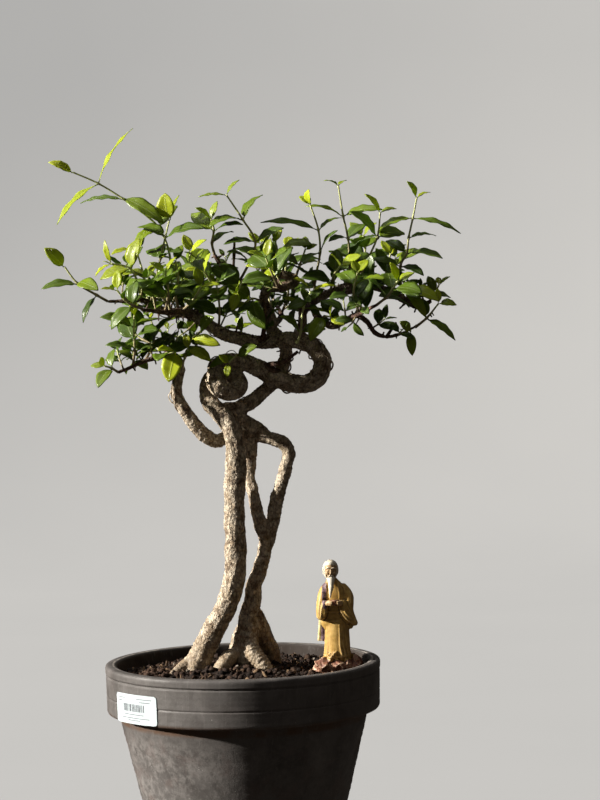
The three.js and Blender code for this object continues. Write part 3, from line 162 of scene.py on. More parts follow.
# A leafy shoot: its leaves' length, the turn of its first pair, and its stem's points. Its pairs sit
# at those points that "at" names, or spread evenly from "first", a share of its length, to its tip.
# The aims say where some leaves of a pair end, and how wide they are: (x, y, z, width).
SHOOTS = {
    "left_01": dict(leaf=30, turn=0, at=[1, 2, 3], stem=[(-114, -18, 552), (-124, -18, 558),
        (-141, -20, 569), (-152, -22, 584)], aims={0: [(-136, -26, 533, 8), (-145, -4, 557, 10)],
        1: [(-172, -30, 564, 12), (-120, -40, 561, 12)], 2: [(-169, -26, 601, 12), (-159, -36, 575, 7)]}),
    "left_02": dict(leaf=36, turn=30, at=[1, 2, 3, 4], stem=[(-71, -12, 546), (-72, -14, 563),
        (-66, -16, 590), (-61, -18, 609), (-57, -20, 624)], aims={2: [(-24, -34, 615, 14)],
        3: [(-60, -24, 648, 15), (-48, -14, 647, 4)]}),
    "left_03": dict(leaf=34, turn=40, at=[3, 5, 6, 7], young=True, stem=[(-61, -9, 542), (-58, 6, 567),
        (-60, 6, 599), (-68, 0, 619), (-79, -8, 630), (-99, -12, 645), (-121, -16, 659),
        (-143, -20, 669)], aims={1: [(-139, 0, 643, 6), (-61, -28, 620, 13)], 2: [(-89, -8, 709, 6),
        (-157, -30, 621, 7)], 3: [(-164, -24, 678, 8), (-153, -34, 661, 8)]}),
    "left_04": dict(leaf=32, turn=20, at=[2, 3], young=True, stem=[(-84, -15, 553), (-86, -22, 567),
        (-93, -26, 581), (-109, -34, 585)], aims={1: [(-114, -34, 606, 5), (-122, -46, 573, 4)]}),
    "left_05": dict(leaf=29, turn=50, pairs=3, first=0.4, stem=[(-100, -17, 552), (-94, -6, 563),
        (-98, 2, 575), (-107, 6, 584)]),
    "left_06": dict(leaf=28, turn=80, pairs=2, first=0.5, stem=[(-106, -18, 488), (-112, -23, 492),
        (-118, -26, 494)]),
    "left_07": dict(leaf=32, turn=25, pairs=4, first=0.3, stem=[(-93, -16, 493), (-91, -18, 508),
        (-91, -20, 524), (-90, -24, 539)]),
    "left_08": dict(leaf=30, turn=70, pairs=3, first=0.4, stem=[(-82, -13, 498), (-76, -6, 511),
        (-74, 0, 524), (-78, 4, 537)]),
    "left_09": dict(leaf=30, turn=20, at=[1, 2], stem=[(-71, -10, 501), (-63, -18, 504), (-54, -24, 505)],
        aims={1: [(-68, -44, 506, 9), (-60, -32, 478, 16)]}),
    "left_10": dict(leaf=28, turn=40, at=[1, 2], stem=[(-51, -4, 488), (-46, -14, 500), (-42, -19, 508)],
        aims={1: [(-22, -30, 496, 11)]}),
    "left_11": dict(leaf=28, turn=75, at=[1, 2], stem=[(-25, 2, 530), (-32, -10, 523), (-39, -18, 517)],
        aims={1: [(-13, -30, 510, 10)]}),
    "left_12": dict(leaf=33, turn=35, pairs=3, first=0.35, stem=[(-50, -6, 541), (-53, -16, 557),
        (-50, -22, 573), (-52, -26, 587)]),
    "left_13": dict(leaf=33, turn=65, pairs=3, first=0.35, stem=[(-36, -2, 537), (-31, 2, 554),
        (-29, 4, 573), (-33, 4, 589)]),
    "left_14": dict(leaf=30, turn=15, at=[1, 2], young=True, stem=[(-78, -14, 549), (-82, -6, 574),
        (-88, -8, 598)], aims={1: [(-110, -22, 594, 11)]}),
    "left_15": dict(leaf=32, turn=10, pairs=3, first=0.4, stem=[(-16, 4, 524), (-14, -10, 545),
        (-16, -16, 566)]),
    "left_16": dict(leaf=32, turn=55, pairs=2, first=0.5, stem=[(-57, -8, 541), (-62, -22, 551),
        (-71, -34, 561)]),
    "middle_01": dict(leaf=33, turn=15, at=[1, 2, 3, 4], stem=[(3, -6, 566), (14, -12, 585),
        (20, -20, 603), (9, -24, 623), (-5, -27, 645)], aims={1: [(46, -28, 614, 10), (-8, -34, 600, 9)],
        3: [(7, -27, 658, 5), (-30, -30, 643, 4)]}),
    "middle_02": dict(leaf=33, turn=50, pairs=3, first=0.34, stem=[(-17, -18, 592), (-19, -21, 602),
        (-17, -24, 614), (-19, -27, 624)]),
    "middle_03": dict(leaf=33, turn=25, pairs=3, first=0.4, stem=[(28, 7, 574), (28, 10, 590),
        (24, 12, 604)]),
    "middle_04": dict(leaf=34, turn=60, pairs=3, first=0.4, young=True, stem=[(45, 7, 574), (40, 2, 589),
        (38, -2, 604)]),
    "middle_05": dict(leaf=27, turn=20, pairs=2, first=0.5, stem=[(55, 2, 570), (60, -6, 583),
        (65, -10, 596)]),
    "middle_06": dict(leaf=38, turn=0, pairs=2, first=0.55, stem=[(14, 2, 571), (8, -18, 568),
        (4, -34, 558)]),
    "middle_07": dict(leaf=33, turn=35, pairs=3, first=0.4, stem=[(30, 6, 545), (18, -14, 552),
        (10, -28, 548)]),
    "middle_08": dict(leaf=32, turn=70, at=[2, 3, 4], young=True, stem=[(54, 6, 514), (56, -12, 512),
        (59, -20, 521), (62, -24, 542), (69, -26, 557)], aims={0: [(41, -30, 535, 12)],
        1: [(91, -30, 533, 5), (44, -22, 552, 7)], 2: [(54, -36, 568, 11), (92, -30, 561, 8)]}),
    "middle_09": dict(leaf=29, turn=10, pairs=2, first=0.55, stem=[(3, 0, 496), (0, -18, 500),
        (-6, -28, 494)]),
    "middle_10": dict(leaf=34, turn=30, pairs=3, first=0.4, stem=[(-6, -12, 571), (-18, -28, 566),
        (-26, -40, 576)]),
    "right_01": dict(leaf=38, turn=15, at=[1, 2, 3, 4], stem=[(72, -4, 546), (73, -8, 567),
        (78, -10, 592), (77, -12, 613), (70, -14, 636)], aims={0: [(34, -26, 591, 9),
        (113, -34, 572, 15)], 1: [(94, -26, 611, 10), (62, -30, 582, 12)], 2: [(25, -20, 620, 8),
        (100, -2, 625, 8)], 3: [(69, -20, 649, 10)]}),
    "right_02": dict(leaf=36, turn=40, at=[1, 2, 3, 4, 5], stem=[(101, 8, 561), (105, 2, 572),
        (105, 0, 588), (104, 0, 606), (100, -2, 626), (96, -4, 654)], aims={1: [(127, -34, 605, 16)],
        2: [(121, 16, 620, 12), (86, -16, 602, 9)], 3: [(66, -8, 635, 9), (136, -12, 630, 10)],
        4: [(83, -14, 657, 6), (104, 4, 659, 6)]}),
    "right_03": dict(leaf=38, turn=35, at=[1, 2, 3, 4], stem=[(110, -10, 535), (113, -12, 556),
        (116, -16, 574), (130, -18, 605), (133, -20, 627)], aims={1: [(116, -42, 547, 17)],
        3: [(119, -26, 643, 7), (148, -16, 630, 5)]}),
    "right_04": dict(leaf=40, turn=25, at=[2, 3, 4, 5, 6], stem=[(158, -2, 546), (155, -2, 561),
        (151, -3, 579), (157, -4, 591), (159, -5, 605), (163, -6, 622), (167, -8, 641)],
        aims={0: [(171, -20, 569, 10), (124, 0, 586, 9)], 1: [(188, -24, 584, 12), (139, 14, 604, 9)],
        2: [(185, 8, 607, 8), (142, -28, 609, 9)], 3: [(206, -10, 607, 7), (130, -14, 610, 10)],
        4: [(158, -14, 655, 8), (180, 0, 646, 5)]}),
    "right_05": dict(leaf=26, turn=80, at=[1, 2], stem=[(163, -9, 523), (173, -15, 531), (184, -20, 544)],
        aims={0: [(198, -22, 510, 8)], 1: [(200, -20, 542, 9)]}),
    "right_06": dict(leaf=24, turn=10, at=[1], stem=[(158, -9, 521), (158, -19, 519)],
        aims={0: [(159, -20, 497, 8), (148, -24, 528, 8)]}),
    "right_07": dict(leaf=38, turn=15, pairs=3, first=0.45, stem=[(87, 6, 557), (90, -14, 571),
        (96, -26, 579)]),
    "right_08": dict(leaf=34, turn=60, pairs=2, first=0.5, stem=[(133, 6, 560), (139, 8, 576),
        (143, 10, 592)]),
    "right_09": dict(leaf=22, turn=35, pairs=2, first=0.5, stem=[(176, -7, 546), (182, -4, 554),
        (186, -2, 562)]),
    "right_10": dict(leaf=33, turn=45, pairs=2, first=0.6, stem=[(80, -7, 530), (80, -24, 534),
        (86, -38, 533)]),
    "right_11": dict(leaf=30, turn=10, at=[1], stem=[(152, 0, 550), (155, -18, 558)],
        aims={0: [(184, -30, 545, 13), (172, -24, 531, 9)]}),
    "back_01": dict(leaf=35, turn=20, pairs=3, first=0.35, stem=[(-66, 78, 550), (-78, 84, 562),
        (-86, 88, 580)]),
    "back_02": dict(leaf=36, turn=55, pairs=4, first=0.32, stem=[(-48, 56, 541), (-44, 62, 562),
        (-46, 64, 584), (-43, 62, 602)]),
    "back_03": dict(leaf=34, turn=0, pairs=3, first=0.4, stem=[(-33, 28, 536), (-28, 34, 556),
        (-32, 36, 576)]),
    "back_04": dict(leaf=35, turn=40, pairs=3, first=0.35, stem=[(35, 98, 553), (30, 106, 570),
        (28, 110, 590)]),
    "back_05": dict(leaf=37, turn=10, pairs=4, first=0.32, stem=[(41, 74, 541), (48, 78, 562),
        (46, 80, 585), (50, 80, 604)]),
    "back_06": dict(leaf=34, turn=70, pairs=3, first=0.4, stem=[(37, 44, 533), (30, 50, 556),
        (28, 54, 577)]),
    "back_07": dict(leaf=34, turn=30, pairs=3, first=0.35, stem=[(138, 78, 570), (148, 84, 580),
        (152, 88, 594)]),
    "back_08": dict(leaf=35, turn=65, pairs=4, first=0.32, stem=[(121, 60, 563), (118, 66, 582),
        (122, 68, 600), (120, 66, 614)]),
    "back_09": dict(leaf=32, turn=15, pairs=3, first=0.35, stem=[(-78, 46, 514), (-92, 54, 521),
        (-104, 60, 532)]),
    "front_01": dict(leaf=32, turn=50, pairs=3, first=0.35, stem=[(-77, -78, 541), (-90, -84, 547),
        (-99, -88, 558)]),
    "front_02": dict(leaf=33, turn=20, pairs=3, first=0.4, stem=[(-60, -58, 539), (-56, -66, 556),
        (-58, -70, 574)]),
    "front_03": dict(leaf=32, turn=60, pairs=2, first=0.5, stem=[(-47, -32, 541), (-36, -42, 550),
        (-28, -50, 562)]),
    "front_04": dict(leaf=32, turn=10, pairs=3, first=0.35, stem=[(126, -76, 541), (136, -84, 549),
        (144, -88, 561)]),
    "front_05": dict(leaf=33, turn=45, pairs=3, first=0.4, stem=[(111, -58, 534), (106, -66, 551),
        (110, -70, 570)]),
    "front_06": dict(leaf=34, turn=30, pairs=3, first=0.4, stem=[(40, -64, 560), (36, -76, 568),
        (30, -82, 584)]),
}

# Helpers

X = np.array([1.0, 0, 0])
Z = np.array([0, 0, 1.0])


def random(seed):
    """A repeatable source of numbers from 0 to 1."""
    state = seed * 7919 + 17

    def draw():
        nonlocal state
        state = (state * 1664525 + 1013904223) % 2**32
        return state / 2**32

    return draw


def unit(v):
    return v / np.linalg.norm(v)


def lerp(a, b, t):
    return a + (b - a) * t


def smoothstep(low, high, x):
    t = np.clip((x - low) / (high - low), 0, 1)
    return t * t * (3 - 2 * t)


def around(sides):
    """The angles of even steps round a circle."""
    return np.arange(sides) / sides * 2 * math.pi


def circle(radius, height, sides):
    return [(radius * math.cos(a), radius * math.sin(a), height) for a in around(sides)]


class Route:
    """A smooth line through points. Further values in a point, such as a radius, go along."""

    def __init__(self, points):
        points = np.array(points, float)
        self.rows = np.vstack([2 * points[0] - points[1], points, 2 * points[-1] - points[-2]])
        self.spans = len(points) - 1
        self.times = np.linspace(0, 1, 201)
        line = np.array([self.at(t)[:3] for t in self.times])
        steps = np.linalg.norm(np.diff(line, axis=0), axis=1)
        self.lengths = np.concatenate([[0], np.cumsum(steps)])
        self.length = self.lengths[-1]

    def at(self, t):
        span = min(int(t * self.spans), self.spans - 1)
        w = t * self.spans - span
        a, b, c, d = self.rows[span:span + 4]
        ab, bc, cd = (np.linalg.norm((q - p)[:3]) ** 0.5 for p, q in ((a, b), (b, c), (c, d)))
        into = ((b - a) / ab - (c - a) / (ab + bc) + (c - b) / bc) * bc
        out = ((c - b) / bc - (d - b) / (bc + cd) + (d - c) / cd) * bc
        return b + into * w + (3 * (c - b) - 2 * into - out) * w**2 + (2 * (b - c) + into + out) * w**3

    def time(self, share):
        return float(np.interp(share * self.length, self.lengths, self.times))

    def tangent(self, t):
        return unit((self.at(min(t + 1e-4, 1)) - self.at(max(t - 1e-4, 0)))[:3])

    def samples(self, step):
        count = max(2, round(self.length / step))
        return np.array([self.at(self.time(i / count)) for i in range(count + 1)])


class Form:
    """Points, faces and values for each point, which together become one mesh."""

    def __init__(self):
        self.points = []
        self.faces = []
        self.kinds = []
        self.values = {}
        self.count = 0

    def add(self, points, faces, kind=0, **values):
        points = np.asarray(points, float).reshape(-1, 3)
        self.points.append(points)
        self.faces += [tuple(int(i) + self.count for i in face) for face in faces]
        self.kinds += [kind] * len(faces)
        for name, value in values.items():
            filled = np.broadcast_to(np.asarray(value, float), (len(points),))
            self.values.setdefault(name, []).append(filled)
        self.count += len(points)

    def skin(self, rings, kind=0, **values):
        """A closed skin through rings of points."""
        rings = np.asarray(rings, float)
        self.add(rings, skin_faces(*rings.shape[:2]), kind, **values)

    def mesh(self, name, smooth=True):
        mesh = bpy.data.meshes.new(name)
        mesh.from_pydata((np.vstack(self.points) * MM).tolist(), [], self.faces)
        mesh.polygons.foreach_set("use_smooth", [smooth] * len(mesh.polygons))
        mesh.polygons.foreach_set("material_index", self.kinds)
        for value, parts in self.values.items():
            set_value(mesh, value, np.concatenate(parts))
        mesh.update()
        return mesh


def set_value(mesh, name, values):
    attribute = mesh.attributes.get(name) or mesh.attributes.new(name, "FLOAT", "POINT")
    attribute.data.foreach_set("value", np.asarray(values, np.float32))


def get_value(mesh, name):
    values = np.empty(len(mesh.vertices), np.float32)
    mesh.attributes[name].data.foreach_get("value", values)
    return values


def coordinates(mesh):
    """A mesh's points, in millimetres."""
    points = np.empty(len(mesh.vertices) * 3)
    mesh.vertices.foreach_get("co", points)
    return points.reshape(-1, 3) / MM


def vertex_normals(mesh):
    normals = np.empty(len(mesh.vertices) * 3, np.float32)
    mesh.vertex_normals.foreach_get("vector", normals)
    return normals.reshape(-1, 3).astype(float)


def move(mesh, points):
    """Moves a finished mesh's points to new places, and shades it smooth."""
    mesh.vertices.foreach_set("co", (points * MM).ravel())
    mesh.update()
    mesh.polygons.foreach_set("use_smooth", [True] * len(mesh.polygons))


def place(name, data):
    made = bpy.data.objects.new(name, data)
    bpy.context.scene.collection.objects.link(made)
    return made


def piece(name, shape, materials, nodes=()):
    """One piece of the dressed object. It rides on the frame and stands for the named nodes."""
    made = place(name, shape.mesh(name) if isinstance(shape, Form) else shape)
    for material in materials:
        made.data.materials.append(material)
    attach(made, "root")
    if nodes:
        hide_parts(*nodes)
    return made


def finished(made):
    """An object's mesh with its modifiers applied."""
    graph = bpy.context.evaluated_depsgraph_get()
    return bpy.data.meshes.new_from_object(made.evaluated_get(graph))


def skin_faces(rings, sides, closed=True):
    """The faces of a skin through rings of points. If it is closed, both ends are capped."""
    faces = []
    for i in range(rings - 1):
        for k in range(sides):
            a = i * sides + k
            b = i * sides + (k + 1) % sides
            faces.append((a, b, b + sides, a + sides))
    if closed:
        faces.append(tuple(range(sides))[::-1])
        last = (rings - 1) * sides
        faces.append(tuple(last + k for k in range(sides)))
    return faces


def sheet_faces(rows, columns):
    """The faces of a thin closed sheet: an upper grid of points, a lower one, and the rim."""
    count = rows * columns
    faces = []
    for i in range(rows - 1):
        for j in range(columns - 1):
            a = i * columns + j
            faces.append((a, a + 1, a + columns + 1, a + columns))
            faces.append((count + a, count + a + columns, count + a + columns + 1, count + a + 1))
    rim = list(range(columns)) + [i * columns + columns - 1 for i in range(1, rows)]
    rim += [(rows - 1) * columns + j for j in range(columns - 2, -1, -1)]
    rim += [i * columns for i in range(rows - 2, 0, -1)]
    return faces + [(a, count + a, count + b, b) for a, b in zip(rim, rim[1:] + rim[:1])]


def carried_frames(line):
    """The tangent and two directions across a line at each of its points, carried along it."""
    tangents = np.gradient(line, axis=0)
    tangents /= np.linalg.norm(tangents, axis=1)[:, None]
    side = X if abs(tangents[0][0]) < 0.85 else Z
    firsts = []
    for tangent in tangents:
        side = unit(side - tangent * side.dot(tangent))
        firsts.append(side)
    firsts = np.array(firsts)
    return tangents, firsts, np.cross(tangents, firsts)


def tube_rings(line, radii, sides):
    _, firsts, seconds = carried_frames(line)
    angles = around(sides)[None, :, None]
    out = firsts[:, None] * np.cos(angles) + seconds[:, None] * np.sin(angles)
    return line[:, None] + out * np.asarray(radii)[:, None, None]


def fused(form, name, voxel, smoothing):
    """The outer skin of all that a form holds, as one mesh."""
    rough = place(name, form.mesh(name))
    remesh = rough.modifiers.new("fuse", "REMESH")
    remesh.mode = "VOXEL"
    remesh.voxel_size = voxel * MM
    remesh.use_smooth_shade = True
    soften = rough.modifiers.new("soften", "SMOOTH")
    soften.factor = 0.5
    soften.iterations = smoothing
    mesh = finished(rough)
    bpy.data.objects.remove(rough)
    mesh.materials.clear()
    return mesh


def finder(points):
    tree = KDTree(len(points))
    for i, point in enumerate(points):
        tree.insert(Vector(point), i)
    tree.balance()
    return tree


# Materials

class Paint:
    """A node material under construction. Most of its methods return the socket that they add."""

    def __init__(self, name):
        self.material = bpy.data.materials.new(name)
        self.material.use_nodes = True
        self.tree = self.material.node_tree
        self.shader = self.tree.nodes["Principled BSDF"]
        self.place = self.node("ShaderNodeTexCoord").outputs["Object"]
        self.colour = None
        self.normal = None

    def node(self, kind, **settings):
        node = self.tree.nodes.new(kind)
        for name, value in settings.items():
            setattr(node, name, value)
        return node

    def feed(self, socket, value):
        if isinstance(value, bpy.types.NodeSocket):
            self.tree.links.new(value, socket)
        elif isinstance(value, tuple) and len(value) == 3 and socket.type == "RGBA":
            socket.default_value = (*value, 1)
        else:
            socket.default_value = value

    def feed_all(self, node, values):
        """Feeds a node's first inputs in turn. Returns its first output."""
        for socket, value in zip(node.inputs, values):
            self.feed(socket, value)
        return node.outputs[0]

    def value(self, name):
        return self.node("ShaderNodeAttribute", attribute_name=name).outputs["Fac"]

    def texture(self, node, stretch, **inputs):
        place = self.place
        if stretch:
            mapping = self.node("ShaderNodeMapping")
            self.feed(mapping.inputs["Vector"], place)
            self.feed(mapping.inputs["Scale"], stretch)
            place = mapping.outputs["Vector"]
        for name, value in dict(inputs, Vector=place).items():
            self.feed(node.inputs[name], value)
        return node

    def noise(self, scale, detail=4.0, roughness=0.55, stretch=None, distortion=0.0):
        node = self.node("ShaderNodeTexNoise")
        inputs = dict(Scale=scale, Detail=detail, Roughness=roughness, Distortion=distortion)
        return self.texture(node, stretch, **inputs).outputs["Fac"]

    def cells(self, scale, feature="F1", stretch=None):
        node = self.node("ShaderNodeTexVoronoi", feature=feature)
        return self.texture(node, stretch, Scale=scale).outputs["Distance"]

    def math(self, operation, *values):
        return self.feed_all(self.node("ShaderNodeMath", operation=operation), values)

    def times(self, value, *others):
        for other in others:
            value = self.math("MULTIPLY", value, other)
        return value

    def plus(self, a, b):
        return self.math("ADD", a, b)

    def minus(self, a, b):
        return self.math("SUBTRACT", a, b)

    def off(self, value, level):
        """How far a value lies from a level in millimetres, either way."""
        return self.math("ABSOLUTE", self.minus(value, level * MM))

    def band(self, value, low, high, to_low=0.0, to_high=1.0):
        """A value taken smoothly from low..high to to_low..to_high."""
        node = self.node("ShaderNodeMapRange", interpolation_type="SMOOTHSTEP")
        return self.feed_all(node, (value, low, high, to_low, to_high))

    def mix(self, share, a, b):
        node = self.node("ShaderNodeMix", data_type="RGBA")
        for index, value in (("Factor", share), (6, a), (7, b)):
            self.feed(node.inputs[index], value)
        return node.outputs[2]

    def ramp(self, share, *stops):
        node = self.node("ShaderNodeValToRGB")
        elements = node.color_ramp.elements
        while len(elements) < len(stops):
            elements.new(0.5)
        for element, (position, colour) in zip(elements, stops):
            element.position = position
            element.color = (*colour, 1)
        return self.feed_all(node, (share,))

    def axes(self):
        node = self.node("ShaderNodeSeparateXYZ")
        self.feed(node.inputs[0], self.place)
        return node.outputs

    def lay(self, share, colour):
        """Lays a colour over the paint's own."""
        self.colour = self.mix(share, self.colour, colour)

    def tint(self, share, amount, colour):
        """Lays the paint's own colour, itself moved towards another, over it."""
        self.lay(share, self.mix(amount, self.colour, colour))

    def emboss(self, height, distance, strength):
        """Adds a bump to those that the paint has."""
        node = self.node("ShaderNodeBump")
        self.feed(node.inputs["Height"], height)
        self.feed(node.inputs["Distance"], distance * MM)
        self.feed(node.inputs["Strength"], strength)
        if self.normal is not None:
            self.feed(node.inputs["Normal"], self.normal)
        self.normal = node.outputs[0]

    def finish(self, roughness, specular):
        """Feeds the shader. Returns the material."""
        inputs = {"Base Color": self.colour, "Roughness": roughness, "Specular IOR Level": specular}
        if self.normal is not None:
            inputs["Normal"] = self.normal
        for name, value in inputs.items():
            self.feed(self.shader.inputs[name], value)
        return self.material


def clay_material():
    paint = Paint("grey_brown_clay")
    x, y, z = paint.axes()
    paint.colour = paint.ramp(
        paint.noise(30, 7, 0.66, distortion=0.5), (0.32, (0.055, 0.049, 0.046)),
        (0.48, (0.08, 0.073, 0.069)), (0.6, (0.102, 0.094, 0.09)), (0.72, (0.138, 0.127, 0.12)),
    )
    paint.lay(paint.band(paint.noise(900, 3, 0.7), 0.55, 0.75, 0, 0.35), (0.19, 0.176, 0.166))
    smudges = paint.noise(70, 5, 0.6, stretch=(1, 1, 0.6))
    paint.lay(paint.band(smudges, 0.52, 0.7, 0, 0.45), (0.044, 0.037, 0.034))
    # Lime has bloomed on the body, and more to the left.
    wide, fine = paint.noise(34, 9, 0.72, distortion=0.3), paint.noise(170, 6, 0.7)
    bloom = paint.plus(paint.times(wide, 0.55), paint.times(fine, 0.45))
    below = paint.band(z, (BAND_BOTTOM - 8) * MM, (BAND_BOTTOM - 26) * MM, 0.2, 1.0)
    patches = paint.times(paint.band(bloom, 0.44, 0.6), below, paint.band(x, 0.05, -0.09, 0.35, 1.0))
    paint.lay(paint.times(patches, 0.6), (0.235, 0.218, 0.208))
    warm = paint.band(paint.noise(48, 5, 0.6), 0.5, 0.64)
    paint.lay(paint.times(warm, below, 0.4), (0.12, 0.09, 0.082))
    specks, rare = paint.band(paint.cells(260), 0.16, 0.05), paint.band(paint.noise(60, 2), 0.56, 0.68)
    paint.lay(paint.times(specks, rare, 0.7), (0.4, 0.38, 0.36))
    # The body just under the band is painted dark red-brown: partly the clay's own red-brown, partly
    # painted shade under the band's overhang.
    red_clay_and_shade_strip = paint.band(paint.off(z, BAND_BOTTOM - 3), 0.007, 0.003)
    uneven = paint.band(paint.noise(40, 5, 0.65), 0.36, 0.56, 0.3, 1.0)
    paint.lay(paint.times(red_clay_and_shade_strip, uneven, 0.85), (0.085, 0.042, 0.02))
    # The inside below the rim is painted nearly black, and a painted highlight runs round the rim's inner
    # edge.
    plan = paint.math("SQRT", paint.plus(paint.times(x, x), paint.times(y, y)))
    inside = paint.times(
        paint.band(plan, (RIM_RADIUS - 8) * MM, (RIM_RADIUS - 9.6) * MM),
        paint.band(z, POT_HEIGHT * MM, (POT_HEIGHT - 2) * MM, 0.4, 0.95),
        paint.band(z, (BAND_BOTTOM + 1) * MM, (BAND_BOTTOM + 3) * MM),
    )
    paint.lay(inside, paint.mix(paint.noise(80, 5), (0.012, 0.008, 0.006), (0.04, 0.028, 0.021)))
    # A painted highlight: a pale ring along the rim's inner edge.
    rim_highlight = paint.times(
        paint.band(paint.off(plan, RIM_RADIUS - 7.4), 0.0012, 0.0004),
        paint.band(z, (POT_HEIGHT - 4) * MM, (POT_HEIGHT - 2) * MM, 0, 0.7),
        paint.band(paint.noise(60, 4), 0.4, 0.55, 0.2, 1),
    )
    paint.lay(rim_highlight, (0.4, 0.36, 0.32))
    # Faint upright scratches cross the band.
    scratches = paint.band(paint.noise(1.0, 4, 0.62, stretch=(520, 520, 34)), 0.57, 0.68)
    paint.lay(paint.times(scratches, 0.16), (0.24, 0.222, 0.21))
    paint.emboss(paint.noise(1.0, 4, 0.6, stretch=(9, 9, 420)), 0.03, 0.2)
    paint.emboss(paint.noise(420, 5, 0.65), 0.3, 0.6)
    paint.emboss(scratches, 0.05, 0.5)
    paint.emboss(patches, 0.12, 0.5)
    rough = paint.plus(paint.band(paint.noise(50, 5), 0.3, 0.7, 0.5, 0.7), paint.times(inside, 0.3))
    return paint.finish(rough, 0.35)


def soil_material(name, dark, pale):
    paint = Paint(name)
    paint.colour = paint.mix(paint.value("tone"), dark, pale)
    paint.tint(paint.band(paint.noise(700, 6, 0.7), 0.35, 0.7), 0.6, (0.012, 0.007, 0.005))
    paint.emboss(paint.noise(900, 6, 0.75), 0.8, 0.9)
    return paint.finish(0.92, 0.25)


def bark_material():
    """Bark: pale and flaky on the old stems, dark and red-brown on the thin boughs."""
    paint = Paint("bark")
    girth, crack, low = (paint.value(name) for name in ("girth", "crack", "low"))
    mottle = paint.noise(120, 7, 0.68, distortion=0.6)
    old = paint.ramp(
        mottle, (0.29, (0.07, 0.043, 0.024)), (0.37, (0.24, 0.165, 0.1)), (0.45, (0.47, 0.365, 0.25)),
        (0.56, (0.74, 0.63, 0.48)),
    )
    paint.colour = paint.ramp(
        paint.noise(260, 6, 0.7), (0.35, (0.045, 0.02, 0.013)), (0.5, (0.13, 0.062, 0.042)),
        (0.68, (0.34, 0.22, 0.15)),
    )
    paint.lay(paint.band(girth, 2.6, 5.6), old)
    paint.lay(paint.band(paint.noise(38, 4, 0.6), 0.5, 0.66, 0, 0.4), (0.14, 0.125, 0.06))
    flecks = paint.band(paint.cells(230, stretch=(1, 1, 0.55)), 0.26, 0.12)
    chosen = paint.band(paint.noise(90, 3), 0.48, 0.6)
    paint.lay(paint.times(flecks, chosen, 0.85), (0.03, 0.016, 0.01))
    # Cracks are painted dark as the bark's own fissures, and the dents between its lumps with painted
    # shade.
    paint.lay(paint.times(crack, 0.8), (0.035, 0.02, 0.012))
    smooth_root = paint.mix(paint.noise(60, 4), (0.2, 0.135, 0.07), (0.36, 0.27, 0.165))
    paint.lay(paint.times(low, 0.6), smooth_root)
    # Flakes stand between fine cracks, and pits lie in them.
    flakes = paint.band(paint.cells(330, "DISTANCE_TO_EDGE", (1, 1, 0.6)), 0.02, 0.16)
    paint.lay(paint.times(paint.minus(1.0, flakes), 0.45), (0.05, 0.03, 0.018))
    firm = paint.minus(1.0, paint.times(low, 0.7))
    paint.emboss(paint.times(mottle, firm), 1.6, 0.8)
    paint.emboss(paint.times(flakes, firm), 0.5, 0.7)
    paint.emboss(paint.noise(650, 6, 0.7), 0.8, 0.8)
    rough = paint.band(paint.noise(300, 4), 0.35, 0.7, 0.62, 0.85)
    return paint.finish(paint.minus(rough, paint.times(low, 0.22)), 0.4)


def leaf_material():
    """A blade: glossy above, paler and duller below, with its midrib and side veins."""
    paint = Paint("leaf")
    names = ("across", "along", "youth", "tone", "under")
    across, along, youth, tone, under = (paint.value(name) for name in names)
    paint.colour = paint.ramp(
        youth, (0.0, (0.072, 0.132, 0.016)), (0.3, (0.165, 0.265, 0.018)), (0.62, (0.35, 0.46, 0.018)),
        (1.0, (0.66, 0.74, 0.03)),
    )
    paint.tint(paint.band(tone, 0.2, 1, 0, 0.6), 0.6, (0.012, 0.036, 0.012))
    cloudy = paint.band(paint.noise(160, 4), 0.4, 0.7, 0, 0.3)
    paint.tint(paint.times(cloudy, paint.band(youth, 0.6, 0.2)), 0.4, (0.26, 0.34, 0.05))
    side = paint.math("ABSOLUTE", across)
    rib = paint.band(side, 0.1, 0.02)
    chevrons = paint.minus(paint.times(along, 9.0), paint.times(side, 1.6))
    waves = paint.math("ABSOLUTE", paint.math("SINE", paint.times(chevrons, math.pi)))
    veins = paint.times(paint.band(waves, 0.16, 0.0), paint.band(side, 1.0, 0.7))
    pale = paint.mix(0.35, paint.colour, (0.72, 0.78, 0.42))
    paint.lay(paint.times(rib, 0.5), pale)
    paint.lay(paint.times(veins, 0.22), pale)
    paint.tint(under, 0.45, (0.16, 0.23, 0.07))
    relief = paint.plus(paint.times(rib, -1.0), paint.times(veins, -0.6))
    paint.emboss(paint.plus(relief, paint.times(paint.noise(500, 3), 0.25)), 0.25, 0.8)
    paint.finish(paint.band(under, 0, 1, 0.34, 0.55), 0.5)
    # Light also shines through the blade.
    glow = paint.node("ShaderNodeBsdfTranslucent")
    lit = paint.ramp(youth, (0.0, (0.22, 0.4, 0.016)), (1.0, (0.7, 0.82, 0.03)))
    paint.feed(glow.inputs["Color"], paint.mix(0.5, paint.colour, lit))
    paint.feed(glow.inputs["Normal"], paint.normal)
    blend = paint.node("ShaderNodeMixShader")
    both = paint.feed_all(blend, (0.42, paint.shader.outputs[0], glow.outputs[0]))
    paint.feed(paint.tree.nodes["Material Output"].inputs["Surface"], both)
    return paint.material


def stem_material():
    paint = Paint("green_stem")
    paint.colour = paint.ramp(
        paint.value("youth"), (0.0, (0.17, 0.115, 0.07)), (0.25, (0.33, 0.28, 0.14)),
        (0.5, (0.5, 0.52, 0.21)), (1.0, (0.68, 0.74, 0.32)),
    )
    paint.tint(paint.band(paint.noise(420, 5), 0.45, 0.75, 0, 0.4), 0.5, (0.08, 0.05, 0.025))
    paint.emboss(paint.noise(800, 4, stretch=(1, 1, 0.3)), 0.3, 0.6)
    return paint.finish(0.55, 0.4)


# Camera, stage and light

CAMERA_AT = (57.1, -1685, 459.5)
CAMERA_ROLL = 1.25
FOCAL_PIXELS = 1850
PICTURE_HEIGHT = 800
SENSOR = 36


